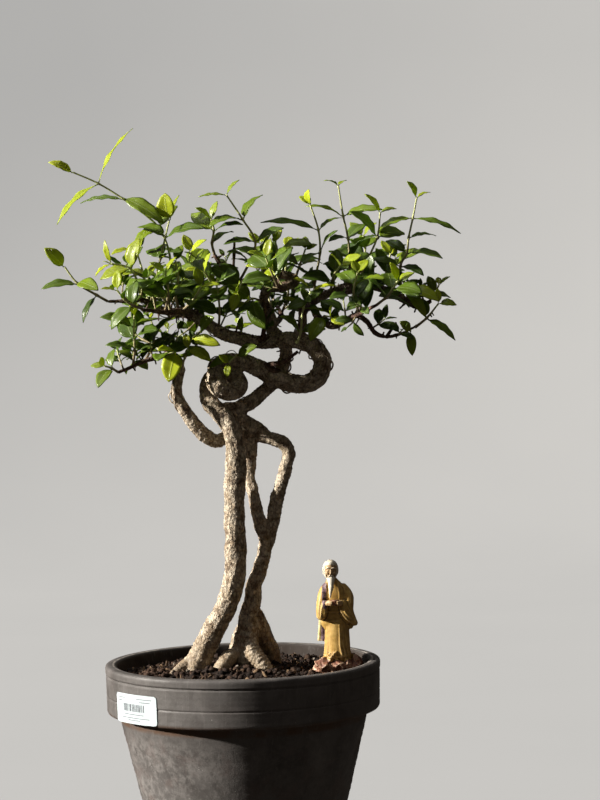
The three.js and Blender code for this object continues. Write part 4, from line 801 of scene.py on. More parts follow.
def make_camera():
    data = bpy.data.cameras.new("camera")
    data.sensor_width = SENSOR
    data.lens = FOCAL_PIXELS / PICTURE_HEIGHT * SENSOR
    camera = place("camera", data)
    camera.location = Vector(CAMERA_AT) * MM
    camera.rotation_euler = (math.pi / 2, math.radians(CAMERA_ROLL), 0)
    bpy.context.scene.camera = camera


def make_stage():
    """A plain pale floor that rises all round into a plain wall. Its measures are in metres."""
    floor_radius, bend, wall_top, steps, sides = 2.9, 1.6, 3.2, 16, 96
    profile = [(0.02, 0), (floor_radius, 0)]
    for i in range(1, steps + 1):
        angle = i / steps * math.pi / 2
        profile.append((floor_radius + bend * math.sin(angle), bend * (1 - math.cos(angle))))
    profile.append((floor_radius + bend, wall_top))
    faces = [face[::-1] for face in skin_faces(len(profile), sides, closed=False)]
    form = Form()
    form.add([circle(r / MM, z / MM, sides) for r, z in profile], faces + [tuple(range(sides))])
    stage = place("stage", form.mesh("stage"))
    paint = Paint("plain_pale_floor")
    paint.colour = paint.mix(paint.noise(2.0, 2), (0.098, 0.097, 0.0945), (0.104, 0.1025, 0.0995))
    stage.data.materials.append(paint.finish(0.9, 0.1))
    # The stage glows evenly. It is seen, but it neither shades the object nor lights it.
    paint.feed(paint.shader.inputs["Emission Color"], paint.colour)
    paint.feed(paint.shader.inputs["Emission Strength"], 4.3)
    stage.visible_shadow = False
    stage.visible_diffuse = False
    stage.visible_glossy = False
    stage.visible_transmission = False


def make_lights():
    world = bpy.data.worlds.new("soft_daylight")
    world.use_nodes = True
    background = world.node_tree.nodes["Background"]
    background.inputs["Color"].default_value = (1.0, 0.87, 0.74, 1)
    background.inputs["Strength"].default_value = 0.068
    bpy.context.scene.world = world
    # The key comes from the left and a soft light from above: energy, angle, colour, towards.
    for name, energy, angle, colour, towards in (
        ("key", 9.4, 2, (1.0, 0.95, 0.87), (1.0, 0.14, -0.38)),
        ("top", 0.95, 50, (0.97, 0.98, 1.0), (0.45, 0.05, -1.0)),
    ):
        light = bpy.data.lights.new(name, "SUN")
        light.energy = energy
        light.angle = math.radians(angle)
        light.color = colour
        place(name, light).rotation_euler = Vector(towards).to_track_quat("-Z", "Y").to_euler()
    bpy.context.scene.view_settings.view_transform = "Standard"
    bpy.context.scene.view_settings.look = "None"


# Pot

POT_SIDES = 200
DRILL_SIDES = 32


def band_radius(height):
    """The rim band's outer radius at a height."""
    top = RIM_RADIUS - 0.6
    return np.interp(height, [BAND_BOTTOM, POT_HEIGHT - 8], [top - BAND_FLARE, top])


def inner_radius(height):
    """The radius inside the pot at a height."""
    levels = [FLOOR, BAND_BOTTOM, POT_HEIGHT - 3]
    return float(np.interp(height, levels, [FOOT_RADIUS - WALL - 1, SHOULDER_RADIUS, MOUTH_RADIUS]))


def pot_profile():
    """The pot's turned outline from the middle of its underside to the middle of its floor."""
    profile = [(0.01, 0), (FOOT_RADIUS - 3, 0), (FOOT_RADIUS - 0.9, 0.8), (FOOT_RADIUS, 2.5)]
    for height in np.linspace(6, BAND_BOTTOM - 7, 56):
        share = (height - 2.5) / (BAND_BOTTOM - 2.5)
        wobble = 0.18 * math.sin(height * 0.9) + 0.12 * math.sin(height * 2.3)
        profile.append((lerp(FOOT_RADIUS, BODY_TOP_RADIUS, share) + wobble, height))
    # Under the band and round its lower edge: a radius, and how far above the band's bottom.
    bottom = float(band_radius(BAND_BOTTOM))
    for radius, rise in (
        (BODY_TOP_RADIUS - 1.2, -3), (BODY_TOP_RADIUS - 0.8, -0.6), (BODY_TOP_RADIUS + 0.6, 0),
        (bottom - 2.2, 0.1), (bottom - 0.7, 0.7), (bottom + 0.1, 2.4),
    ):
        profile.append((radius, BAND_BOTTOM + rise))
    for height in np.linspace(BAND_BOTTOM + 4, POT_HEIGHT - 5, 70):
        lip = 0.35 * smoothstep(POT_HEIGHT - 9, POT_HEIGHT - 6.5, height)
        radius = float(band_radius(height)) + lip + 0.02 * math.sin(height * 1.3)
        crease = 0.7 * math.exp(-(((height - CREASE_LEVEL) / 0.55) ** 2))
        groove = 1.1 * math.exp(-(((height - GROOVE_LEVEL) / 0.75) ** 2))
        profile.append((radius - crease - groove, height))
    # Over the rim: how far in from the rim's radius, and how far down from its top.
    for inward, down in (
        (0.1, 3.6), (0.15, 2.2), (0.5, 1.2), (1.2, 0.5), (2.3, 0.1), (4, 0), (7.2, 0), (9.2, 0.4),
        (10.7, 1.3), (11.4, 3),
    ):
        profile.append((RIM_RADIUS - inward, POT_HEIGHT - down))
    for height in np.linspace(POT_HEIGHT - 6, FLOOR + 3, 30):
        profile.append((inner_radius(height), height))
    return profile + [(inner_radius(FLOOR) - 3, FLOOR), (0.01, FLOOR)]


def make_pot(material):
    form = Form()
    form.skin([circle(radius, height, POT_SIDES) for radius, height in pot_profile()])
    pot = piece("clay_pot", form, [material], ["pot"])
    drill = Form()
    for angle in around(DRAIN_HOLES) + math.pi / DRAIN_HOLES:
        centre = np.array([DRAIN_CIRCLE * math.cos(angle), DRAIN_CIRCLE * math.sin(angle), 0])
        line = np.array([centre + Z * height for height in (-FLOOR, FLOOR / 2, 2 * FLOOR)])
        drill.skin(tube_rings(line, [DRAIN_RADIUS] * 3, DRILL_SIDES))
    tool = place("drill", drill.mesh("drill"))
    cut = pot.modifiers.new("drain_holes", "BOOLEAN")
    cut.object = tool
    cut.operation = "DIFFERENCE"
    cut.solver = "EXACT"
    drilled = finished(pot)
    pot.modifiers.clear()
    pot.data = drilled
    bpy.data.objects.remove(tool)


# Label

PAPER_THICKNESS = 0.3
INK_LIFT = 0.34
INK_THICKNESS = 0.05
BARS_LEVEL = 1.2
BARS_HEIGHT = 6.4
BARS_HALF = 15
# Lines that stand for print: how far above the label's middle, start and end.
PRINT_LINES = (
    (9.2, -24, -13), (9.2, 4, 23), (6.6, -24, -17), (6.6, 8, 21), (-4.6, -14, 13), (-7.6, -20, 20),
    (-9.6, -9, 8),
)


def label_point(u, v, lift):
    """A point on the label: u to the right, v up, lift off the band."""
    tilt = math.radians(-LABEL_TILT)
    across = u * math.cos(tilt) - v * math.sin(tilt)
    height = LABEL_LEVEL + u * math.sin(tilt) + v * math.cos(tilt)
    radius = float(band_radius(height)) + GAP + lift
    angle = math.radians(LABEL_ANGLE) + across / RIM_RADIUS
    return (radius * math.cos(angle), radius * math.sin(angle), height)


def patch(form, centre, size, lift, thickness, corner=0.0, columns=2):
    """A thin rounded rectangle of paper or ink that follows the band."""
    (cu, cv), (width, height) = centre, size
    steps = [share * corner / height for share in (0, 0.3, 1)] if corner else [0]
    rows = [-0.5 + step for step in steps] + [0.5 - step for step in reversed(steps)]
    grid = []
    for row in rows:
        edge = max(corner - (0.5 - abs(row)) * height, 0)
        inset = corner - math.sqrt(max(corner**2 - edge**2, 0))
        half = width / 2 - inset
        grid += [(cu + half * (2 * i / columns - 1), cv + row * height) for i in range(columns + 1)]
    points = [label_point(u, v, out) for out in (lift + thickness, lift) for u, v in grid]
    form.add(points, sheet_faces(len(rows), columns + 1))


def make_label():
    paper = Paint("label_paper")
    paper.colour = paper.mix(paper.noise(120, 4), (0.46, 0.53, 0.555), (0.51, 0.575, 0.60))
    paper.emboss(paper.noise(900, 3), 0.04, 0.5)
    sheet = Form()
    patch(sheet, (0, 0), LABEL_SIZE, 0, PAPER_THICKNESS, LABEL_CORNER, columns=24)
    mesh = sheet.mesh("paper_label", smooth=False)
    piece("paper_label", mesh, [paper.finish(0.42, 0.5)], ["label"])
    ink = Paint("label_ink")
    ink.colour = ink.mix(ink.noise(500, 3), (0.05, 0.055, 0.07), (0.12, 0.125, 0.14))
    bars = Form()
    draw = random(31)
    u = -BARS_HALF
    while u < BARS_HALF:
        bar = 0.45 + 0.9 * draw()
        patch(bars, (u, BARS_LEVEL), (bar, BARS_HEIGHT), INK_LIFT, INK_THICKNESS)
        u += bar + 0.5 + 0.9 * draw()
    for level, start, end in PRINT_LINES:
        middle = ((start + end) / 2, level)
        patch(bars, middle, (end - start, 0.5), INK_LIFT, INK_THICKNESS, columns=10)
    piece("label_bars", bars.mesh("label_bars", smooth=False), [ink.finish(0.5, 0.4)])


# Wood

THICK_RADIUS = 4.5
THICK_SIDES = 20
THIN_SIDES = 16
WOOD_STEP = 1.3
WOOD_VOXEL = 1.15
# The wood changes from smooth root to flaky stem between these levels.
ROOT_LEVEL = 214
STEM_LEVEL = 270
# The bark's relief: how large each form is, and how wide cracks and knobs are for their spacing.
LUMP_SIZE = 11
RIDGE_SIZE = 3.6
GRAIN_SIZE = 1.9
CRACK_SPACING = 3.3
CRACK_WIDTH = 0.16
KNOB_SPACING = 21
KNOB_WIDTH = 0.17
RING_WAVE = 1.9
FULL_RELIEF_RADIUS = 6.5
LEAST_RELIEF = 0.36
LIMB_OFFSET = 53


def bark_field(points, normals, centreline):
    """Moves points out and in along their normals as bark, and says how dark each is painted: darker in
    cracks, and with painted shade where the bark dips in.
    """
    centres, tangents, firsts, seconds, radii, starts, keys = centreline
    tree = finder(centres)
    moved, girth, crack = (np.zeros(len(points)) for _ in range(3))
    for i, point in enumerate(points):
        best = min(tree.find_n(Vector(point), 4), key=lambda found: found[2] / radii[found[1]])[1]
        rel = point - centres[best]
        radius = radii[best]
        angle = math.atan2(rel @ seconds[best], rel @ firsts[best])
        along = starts[best] + rel @ tangents[best]
        # The bark is drawn on the limb unrolled, with a place of its own for each limb.
        offset = LIMB_OFFSET * keys[best]
        spot = Vector((radius * math.cos(angle) + offset, radius * math.sin(angle), along))
        long_spot = Vector((spot.x, spot.y, along * 0.5))
        root = 1 - smoothstep(ROOT_LEVEL, STEM_LEVEL, point[2])
        lumps = noise.noise(spot / LUMP_SIZE) * 0.8 + noise.noise(long_spot / RIDGE_SIZE) * 0.75
        near, far = noise.voronoi(long_spot / CRACK_SPACING)[0][:2]
        split = max(0.0, 1 - (far - near) / CRACK_WIDTH)
        from_knob = noise.voronoi(spot / KNOB_SPACING)[0][0]
        knob = lerp(1.5, 3.2, root) * max(0.0, 1 - from_knob / KNOB_WIDTH) ** 1.5
        rings = math.sin(along * RING_WAVE + 3 * noise.noise(spot / 6))
        rings *= lerp(0.16 if radius < 7.2 else 0.08, 0.55, root)
        fine = noise.noise(spot / GRAIN_SIZE) * 0.5 * (1 - root)
        strength = min(1.0, max(LEAST_RELIEF, radius / FULL_RELIEF_RADIUS))
        moved[i] = strength * (lumps - 0.42 * split + knob + rings + fine) * (1 - 0.4 * root)
        girth[i] = radius
        # Darkness to paint: the cracks' own dark, and painted shade in the dents between lumps.
        crack[i] = min(1.0, 0.75 * split * (1 - 0.7 * root) + max(0.0, -lumps) * 0.5)
    return points + normals * moved[:, None], girth, crack


def make_wood(material):
    """The stems, fused, and the thin boughs. Returns all limbs' middle lines."""
    stems, boughs = Form(), Form()
    parts = []
    for key, points in enumerate(LIMBS):
        route = Route(points)
        line = route.samples(WOOD_STEP)
        count = len(line)
        centres, radii = line[:, :3], line[:, 3]
        starts = np.arange(count) * route.length / (count - 1)
        parts.append((centres, *carried_frames(centres), radii, starts, np.full(count, key)))
        if max(point[3] for point in points) > THICK_RADIUS:
            stems.skin(tube_rings(centres, radii, THICK_SIDES))
        else:
            boughs.skin(tube_rings(centres, radii, THIN_SIDES))
    centreline = [np.concatenate(part) for part in zip(*parts)]
    for name, mesh, nodes in (
        ("bark_of_stems", fused(stems, "stems", WOOD_VOXEL, 3), ["stems_and_boughs"]),
        ("thin_boughs", boughs.mesh("thin_boughs"), []),
    ):
        points, girth, crack = bark_field(coordinates(mesh), vertex_normals(mesh), centreline)
        move(mesh, points)
        set_value(mesh, "girth", girth)
        set_value(mesh, "crack", crack)
        set_value(mesh, "low", 1 - smoothstep(ROOT_LEVEL, STEM_LEVEL - 8, points[:, 2]))
        piece(name, mesh, [material], nodes)
    return centreline


# Rootlets are thin and pale and arch over the wood. Spurs are short dark stubs on the boughs.
# A row says: limb, the two shares of its length between which they grow, and how many.
ROOTLETS = [
    (0, 0.55, 0.98, 40), (3, 0.0, 0.6, 20), (1, 0.0, 0.6, 8), (7, 0.0, 0.4, 6), (4, 0.75, 1.0, 8),
    (2, 0.85, 1.0, 6),
]
SPURS = [
    (1, 0.1, 1, 14), (5, 0.1, 1, 12), (7, 0.1, 1, 26), (8, 0.1, 1, 20), (3, 0.3, 1, 26), (0, 0.8, 1, 16),
    (18, 0, 1, 8), (19, 0, 1, 8), (20, 0, 1, 8), (21, 0, 1, 8), (22, 0, 1, 8), (23, 0, 1, 6), (24, 0, 1, 6),
]
ROOTLET_SIDES = 8


def off_limb(route, share, turn, out):
    """A point that stands off a limb's middle line by its radius and a little more."""
    t = route.time(min(max(share, 0), 1))
    *point, radius = route.at(t)
    tangent = route.tangent(t)
    first = unit(np.cross(tangent, (0.31, 0.87, 0.38)))
    second = np.cross(tangent, first)
    return np.array(point) + (first * math.cos(turn) + second * math.sin(turn)) * (radius + out)


def starts_on(rows, draw):
    """Where small things start on the limbs: route, share of its length, and turn round it."""
    for limb, start, end, count in rows:
        route = Route(LIMBS[limb])
        for _ in range(count):
            share = lerp(start, end, draw())
            yield route, share, 2 * math.pi * draw()


def make_rootlets(material):
    draw = random(91)
    form = Form()
    for route, share, turn in starts_on(ROOTLETS, draw):
        sweep, reach = 3.4 * (draw() - 0.5), (5 + 15 * draw()) / route.length
        lift = 0.6 + 3.6 * draw() ** 1.6
        points = []
        for w in (0, 0.2, 0.45, 0.7, 0.9, 1):
            out = -0.6 + lift * math.sin(math.pi * w) + 0.8 * (draw() - 0.5)
            points.append(off_limb(route, share + reach * w, turn + sweep * w, out))
        line = Route(points).samples(1.3)
        radii = (0.4 + 0.45 * draw()) * np.linspace(1.15, 0.75, len(line))
        rings = tube_rings(line, radii, ROOTLET_SIDES)
        form.skin(rings, girth=3.5 + 4 * draw(), crack=0.25 * draw(), low=0)
    for route, share, turn in starts_on(SPURS, draw):
        length, lean = 2 + 6 * draw() ** 1.5, 0.5 * (draw() - 0.5)
        points = []
        for w in (0, 0.4, 0.75, 1):
            aside = turn + 0.2 * (draw() - 0.5) * w
            points.append(off_limb(route, share + lean * w * length / route.length, aside, length * w - 1))
        line = Route(points).samples(1.0)
        w = np.linspace(0, 1, len(line))
        radii = (0.8 + 0.5 * draw()) * (1 - 0.5 * w + 0.12 * np.sin(9 * w))
        rings = tube_rings(line, radii, ROOTLET_SIDES)
        form.skin(rings, girth=2.5 + 1.8 * draw(), crack=0.2, low=0)
    piece("rootlets_and_spurs", form, [material])


# Soil

SOIL_SIDES = 220
SOIL_RINGS = 74
FIGURE_CLEARANCE = 15
CRUMBS = 1500
HEAP_CRUMBS = 60
HEAP_RADIUS = 15
HEAP_STRETCH = 1.3
HEAP_HEIGHT = 5.5
CHIPS = 170
GRIT = 70


def soil_level(x, y):
    away = math.hypot(x - MOUND_AT[0], y - MOUND_AT[1])
    mound = MOUND_HEIGHT * math.exp(-((away / MOUND_SPREAD) ** 2) / 2)
    lumps = math.sin(0.21 * x + 1.3) * math.sin(0.19 * y + 0.4) * 1.2
    return SOIL_EDGE_LEVEL + 0.015 * x + mound + lumps


def soil_top(x, y):
    spot = Vector((x, y, 0))
    crumble = noise.noise(spot / 9) * 1.3 + noise.noise(spot / 3.5) * 0.9 + noise.noise(spot / 1.7) * 0.5
    return soil_level(x, y) - 0.8 + crumble


def ball_shape(finer):
    """The points and faces of a ball."""
    ball = bmesh.new()
    bmesh.ops.create_icosphere(ball, subdivisions=finer, radius=1)
    points = np.array([v.co for v in ball.verts])
    faces = [[v.index for v in f.verts] for f in ball.faces]
    ball.free()
    return points, faces


COARSE_BALL = ball_shape(2)
FINE_BALL = ball_shape(3)


def add_lump(form, centre, size, draw, roughness=0.35, **values):
    """Adds a ball that is turned at random and roughened."""
    points, faces = COARSE_BALL
    turn = np.linalg.qr(np.array([[draw() - 0.5 for _ in range(3)] for _ in range(3)]))[0]
    if np.linalg.det(turn) < 0:
        turn[:, 0] *= -1
    shift = Vector((draw() * 90, draw() * 90, draw() * 90))
    reach = np.array([1 + roughness * noise.noise(Vector(p) * 1.7 + shift) * 1.6 for p in points])
    form.add((points * reach[:, None] * np.asarray(size)) @ turn.T + centre, faces, **values)


def make_soil_ground(edge):
    rings = [
        circle(inner_radius(FLOOR + GAP) - GAP, FLOOR + GAP, SOIL_SIDES),
        circle(inner_radius(BAND_BOTTOM) - 2 * GAP, BAND_BOTTOM, SOIL_SIDES),
    ]
    for share in np.linspace(1, 0.004, SOIL_RINGS):
        sunk = 1.2 * smoothstep(0.9, 1, share)
        flat = circle(edge * share, 0, SOIL_SIDES)
        rings.append([(x, y, soil_top(x, y) - sunk) for x, y, _ in flat])
    form = Form()
    form.skin(rings, tone=0.25)
    material = soil_material("potting_soil", (0.012, 0.007, 0.005), (0.045, 0.026, 0.017))
    piece("soil_ground", form, [material], ["soil"])


def make_soil(centreline):
    edge = inner_radius(SOIL_EDGE_LEVEL - 3) - GAP
    make_soil_ground(edge)
    draw = random(5)
    centres, radii = centreline[0], centreline[4]
    near = (centres[:, 2] > SOIL_EDGE_LEVEL - 9.5) & (centres[:, 2] < SOIL_EDGE_LEVEL + 23.5)
    stems_at = list(zip(centres[near], radii[near]))

    def free(x, y, size):
        """Whether a lump lies clear of the pot, the figure and the stems."""
        ahead = 0.45 if y < FIGURE_AT[1] else 1
        from_figure = math.hypot((x - FIGURE_AT[0] - 1) / 1.3, (y - FIGURE_AT[1]) * ahead)
        if math.hypot(x, y) > edge - size - 0.5 or from_figure < FIGURE_CLEARANCE + size:
            return False
        at = (x, y, soil_level(x, y))
        return all(math.dist(at, centre) > radius + 0.4 * size for centre, radius in stems_at)

    def scatter(count, spread=edge, centre=(0, 0), wide=1):
        """Random places: x, y and how far out."""
        for _ in range(count):
            angle, reach = draw() * 2 * math.pi, spread * math.sqrt(draw())
            yield centre[0] + wide * reach * math.cos(angle), centre[1] + reach * math.sin(angle), reach

    crumbs, chips, grit = Form(), Form(), Form()
    for x, y, _ in scatter(CRUMBS):
        size = 1.0 + 2.6 * draw() ** 2.2
        if free(x, y, size):
            shape = (size, size * (0.7 + 0.3 * draw()), size * (0.55 + 0.35 * draw()))
            add_lump(crumbs, (x, y, soil_top(x, y) + 0.25 * size), shape, draw, tone=draw() ** 1.6)
    # A loose heap of paler crumbs.
    for x, y, reach in scatter(HEAP_CRUMBS, HEAP_RADIUS, HEAP_AT, HEAP_STRETCH):
        size = 1.6 + 2.2 * draw()
        if free(x, y, size):
            z = soil_top(x, y) + HEAP_HEIGHT * (1 - reach / (HEAP_RADIUS + 1)) * draw()
            shape = (size, size * 0.8, size * 0.7)
            add_lump(crumbs, (x, y, z), shape, draw, roughness=0.5, tone=0.9 + 0.8 * draw())
    for x, y, _ in scatter(CHIPS):
        length = 4 + 7 * draw()
        if free(x, y, length / 2):
            shape = (length / 2, length * (0.14 + 0.14 * draw()), 0.7 + 0.6 * draw())
            add_lump(chips, (x, y, soil_top(x, y) + 0.8), shape, draw, roughness=0.25, tone=draw())
    for x, y, _ in scatter(GRIT):
        size = 0.9 + 1.1 * draw()
        if free(x, y, size):
            shape = (size, size, size * 0.8)
            add_lump(grit, (x, y, soil_top(x, y) + 0.4 * size), shape, draw, tone=draw())
    for name, form, label, dark, pale in (
        ("soil_crumbs", crumbs, "crumbs", (0.011, 0.006, 0.004), (0.075, 0.042, 0.027)),
        ("bark_chips", chips, "chips", (0.05, 0.026, 0.016), (0.26, 0.17, 0.1)),
        ("pale_grit", grit, "grit", (0.2, 0.16, 0.12), (0.5, 0.45, 0.38)),
    ):
        piece(name, form, [soil_material(label, dark, pale)])


# Figurine. Its forms are in its own frame: x to the right, -y to the front, z up from its underside.

PAINTS = ("cloth", "purple", "hair", "skin", "bowl", "rock", "hem", "ink")
BODY_VOXEL = 0.5
HEAD_VOXEL = 0.3
LINE_SIDES = 10
HAIR_STRANDS = 17
BEARD_STRANDS = 7

ROCKS = [
    (1, 0, 6, 17, 13, 9), (-9, -6, 7, 10, 8, 8.5), (12, -4, 7, 9, 8, 9), (13, 6, 9, 9, 8, 9),
    (-8, 7, 6, 9, 7, 8), (2, -9, 7, 8, 6, 8), (0, 1, 12, 11, 9, 6), (-14, 1, 4, 6, 7, 6.5),
    (17, 2, 10, 6, 8, 8), (-3, -10, 7, 6, 5, 7),
]
BODY_FORMS = [
    ("cloth", [
        (-12, -3.6, 49.5, 2.6, 4), (-12, -4, 51, 3.9, 5.8), (-12.1, -4, 56, 4.4, 6.4),
        (-11.8, -3.4, 62, 4.5, 6.4), (-10.6, -2, 69, 4.7, 6.2), (-8.6, -0.8, 76, 4.6, 5.4),
        (-6, 0, 81.5, 3.2, 4),
    ]),
    ("cloth", [
        (16.6, -1, 43.2, 3.2, 4.2), (16.4, -1.4, 45, 4.5, 5.6), (14.7, -2, 50, 4.7, 6.4),
        (12.9, -2.2, 57, 4.4, 6.6), (13, -1.8, 64, 4.6, 6.3), (12.6, -1, 70, 4.9, 5.8),
        (10, 0, 76, 4.8, 5.2), (6.4, 0.4, 81, 4, 4.4),
    ]),
    ("cloth", [
        (14.4, -3.6, 45.4, 4.4, 2.8), (12.6, -4.8, 49, 6, 3.8), (10, -6.2, 55, 5.6, 4.2),
        (8.6, -7.4, 60, 4.4, 4), (8, -8, 64.5, 3.2, 3.4), (8, -8, 67, 1.8, 2),
    ]),
    ("cloth", [
        (-11.4, -6, 50, 2.6, 2.8), (-11, -6.8, 53, 3.8, 3.9), (-9.9, -8, 59, 3.7, 3.9),
        (-8.8, -8.8, 64, 3.1, 3.3), (-8.6, -8.6, 67, 1.8, 2),
    ]),
    ("cloth", [
        (2.6, 2.5, 40, 13, 6.8), (2.6, 2.5, 42, 14.4, 7.7), (2.2, 2, 46, 15.2, 8.8),
        (1.6, 1.5, 56, 14.8, 9.4), (1.2, 1, 66, 14.2, 9.2), (0.8, 0.8, 73, 12.6, 8.6),
        (0, 0.6, 79, 9.4, 7.2), (-1.2, 0, 84, 5.8, 5.4), (-2, -0.4, 86.6, 4.4, 4.6),
    ]),
    ("hem", [(-14, 3, 29.5, 1.9, 1.6), (-13.7, 2.8, 34, 1.9, 1.8), (-13, 2.2, 42, 1.8, 2.2),
        (-12.2, 1, 51, 2, 2.6)]),
    ("purple", [(-10.2, 1.4, 29.4, 2.1, 1.2), (-10.2, 1.2, 38, 2.2, 1.3), (-10, 0.6, 46, 2.3, 1.5),
        (-9.8, 0, 53, 2.3, 1.6)]),
    ("cloth", [(-9.4, -6.6, 60, 2.6, 3), (-7, -9.4, 63.4, 2.6, 2.8)]),
    ("skin", [(-5.4, -11.6, 62.4, 1.4, 1.2), (-5.2, -11.8, 64, 2.7, 2.1), (-5, -11.8, 66, 2.6, 2),
        (-5, -11.6, 67.4, 1.2, 1)]),
    ("skin", [(5.2, -11.4, 62.4, 1.2, 1.2), (5, -11.6, 64, 2.4, 2.1), (5, -11.6, 66, 2.4, 2),
        (5, -11.4, 67.4, 1.2, 1)]),
    ("bowl", [
        (0, -12.4, 62.4, 1.4, 1.2), (0, -12.6, 63, 2.5, 2.1), (0, -12.6, 64.6, 3.3, 2.8),
        (0, -12.6, 66.6, 3.7, 3.1), (0, -12.6, 67.8, 3.7, 3.1),
    ]),
]
# Folds of the cloth on the front and behind, as (x, z, radius) points.
FRONT_FOLDS = [
    [(4.4, 61.4, 0.7), (5.8, 57.6, 0.9), (8.4, 53, 0.9), (12.4, 48.6, 0.9), (16.6, 45, 0.7)],
    [(8.2, 59.6, 0.6), (10.4, 55.2, 0.9), (14.2, 51, 0.9), (19, 46.8, 0.7)],
    [(11.6, 62, 0.6), (13.4, 57, 0.8), (16.4, 51.4, 0.7)],
    [(-12.8, 66, 0.6), (-14, 59, 0.8), (-14.4, 52.6, 0.7)],
    [(-10.6, 63, 0.6), (-12, 57.4, 0.8), (-12.4, 51.6, 0.7)],
    [(-8.2, 60, 0.6), (-9, 55, 0.8), (-9.6, 51, 0.7)],
    [(-11.4, 50.4, 0.8), (-13.6, 50.8, 0.8), (-15.4, 52.4, 0.7)],
    [(-8, 49, 0.8), (-4, 48.2, 1), (0, 48, 1), (4, 48.4, 0.9)],
    [(4, 46, 0.4), (4.2, 36, 0.8), (4.4, 26, 1), (6, 17, 1)],
    [(6.6, 46, 0.5), (7.2, 34, 0.9), (7.6, 24, 1), (9, 17, 1)],
    [(9, 44, 0.5), (9.8, 32, 0.9), (10.6, 22, 1), (11.8, 17, 0.9)],
    [(-6.4, 26, 0.2), (-7, 21, 0.5), (-8, 17, 0.8)],
    [(-1, 24, 0.2), (-1.2, 20, 0.4), (-1.8, 17, 0.7)],
    [(-10, 17.4, 0.8), (-6, 16.4, 0.8), (0, 15.8, 0.9), (6, 16.2, 0.9), (12.4, 17.6, 0.8)],
    [(-5.6, 84.6, 0.9), (-7, 80, 1), (-7, 74, 0.9), (-6.2, 67.4, 0.7)],
    [(1.8, 84.6, 0.9), (3.8, 80, 1), (4.6, 74, 0.9), (4.6, 68, 0.7)],
    [(12.8, 78, 0.4), (14.6, 71, 0.8), (14.4, 64, 0.7)],
    [(8.6, 80, 0.4), (10, 73, 0.8), (9.4, 67.4, 0.6)],
    [(-8, 57.4, 0.9), (-3, 56.4, 1), (2, 56.4, 1), (6, 57, 0.9)],
]
BACK_FOLDS = [
    [(-6, 78, 0.5), (-8, 66, 1), (-9, 52, 1), (-9, 42, 0.8)],
    [(-1, 80, 0.5), (-2, 66, 0.9), (-2.4, 52, 1), (-3, 42, 0.8)],
    [(4, 79, 0.5), (4, 66, 0.9), (4.6, 52, 1), (5, 42, 0.8)],
    [(8, 76, 0.5), (10, 64, 1), (11.4, 52, 1), (12, 43, 0.8)],
    [(-12, 43.4, 0.9), (-4, 41.4, 1), (4, 41.2, 1), (12, 42, 1), (16, 43.6, 0.9)],
    [(-5, 38, 0.6), (-6, 26, 1), (-7, 14, 1)],
    [(0, 38, 0.6), (-0.6, 26, 1), (-1, 14, 1)],
    [(5, 38, 0.6), (5.6, 26, 1), (6, 14, 1)],
    [(9, 38, 0.6), (10, 26, 1), (10.6, 14, 1)],
]
FINGERS = [
    [(-5.6, -13.2, 66.4, 0.8), (-3.6, -15, 66.3, 0.75), (-2, -15.7, 65.9, 0.6)],
    [(-5.8, -13.3, 65, 0.8), (-3.8, -15, 64.9, 0.75), (-2.2, -15.5, 64.6, 0.6)],
    [(-5.6, -13, 63.6, 0.75), (-3.8, -14.4, 63.5, 0.7), (-2.4, -14.7, 63.3, 0.55)],
    [(5.4, -13.2, 66.4, 0.8), (3.6, -15, 66.3, 0.75), (2.2, -15.6, 65.9, 0.6)],
    [(5.6, -13.3, 65, 0.8), (3.8, -15, 64.9, 0.75), (2.4, -15.5, 64.6, 0.6)],
    [(5.4, -13, 63.6, 0.75), (3.8, -14.4, 63.5, 0.7), (2.6, -14.7, 63.3, 0.55)],
]
# The robe's dark border, as (x, z) points on the front, and half its width.
BORDER = [(-8.4, 80.6), (-9, 76), (-9.2, 70), (-8.6, 61.6)]
BORDER_HALF = 2.0
SKIRT = [
    (2, 1, 13, 11.4, 9.6), (2, 1, 15, 12.2, 10.2), (2, 1, 21, 11.5, 9.4), (2.2, 1, 30, 11, 9),
    (2.2, 1, 40, 10.7, 8.9), (2, 1, 50, 10.6, 8.8),
]
SKIRT_FOLDS = (288, 304, 324, 346, 12, 40, 72, 100, 130, 160, 186, 212)

# The head is a calm old man's, plain and general: eyes at half its height, five eyes wide.
HEAD_AT = np.array([-2.7, -1.2, 93.6])
HEAD_FORMS = [
    ("skin", [
        (0, 0.4, -9.6, 2.6, 3), (0, -0.2, -8, 3.9, 4.4), (0, 0, -5, 5, 5.7), (0, 0, -1, 5.8, 6.3),
        (0, 0, 3, 6, 6.5), (0, 0.2, 6, 5.2, 5.8), (0, 0.4, 8, 3.4, 4), (0, 0.4, 9, 0.8, 1),
    ]),
    ("skin", [(0, 0.6, -13, 4.2, 4.2), (0, 0.4, -7, 3.8, 3.8)]),
    ("hair", [
        (0, 2.6, -7.6, 3, 2.6), (0, 2.4, -6, 5, 4.6), (0, 1.9, -2, 6.3, 5.6), (0, 1.4, 2, 6.6, 6.2),
        (0, 0.6, 5, 6, 6.8), (0, 0.2, 7.4, 4.4, 5.5), (0, 0.2, 8.8, 2.4, 3), (0, 0.2, 9.3, 0.6, 0.7),
    ]),
    ("hair", [
        (-1, -9.8, -24.6, 0.3, 0.3), (-0.9, -9.8, -22.6, 0.8, 0.8), (-0.6, -9.4, -19, 1.4, 1.2),
        (-0.3, -8.6, -14.6, 2, 1.8), (0, -7.2, -10.4, 2.6, 2.3), (0, -5.4, -7, 3, 2.6),
        (0, -4.4, -5, 2.2, 2),
    ]),
]
# Balls: paint, centre, half sizes. Those with x above 0 are made on both sides.
HEAD_BALLS = [
    ("skin", (3, -4.6, -2.2), (1.9, 1.6, 1.9)), ("skin", (0.75, -7, -3.3), (0.65, 0.75, 0.6)),
    ("skin", (2.35, -5.15, 0), (1.35, 0.95, 0.95)), ("skin", (5.9, 0.2, -1), (0.75, 1.3, 2)),
]
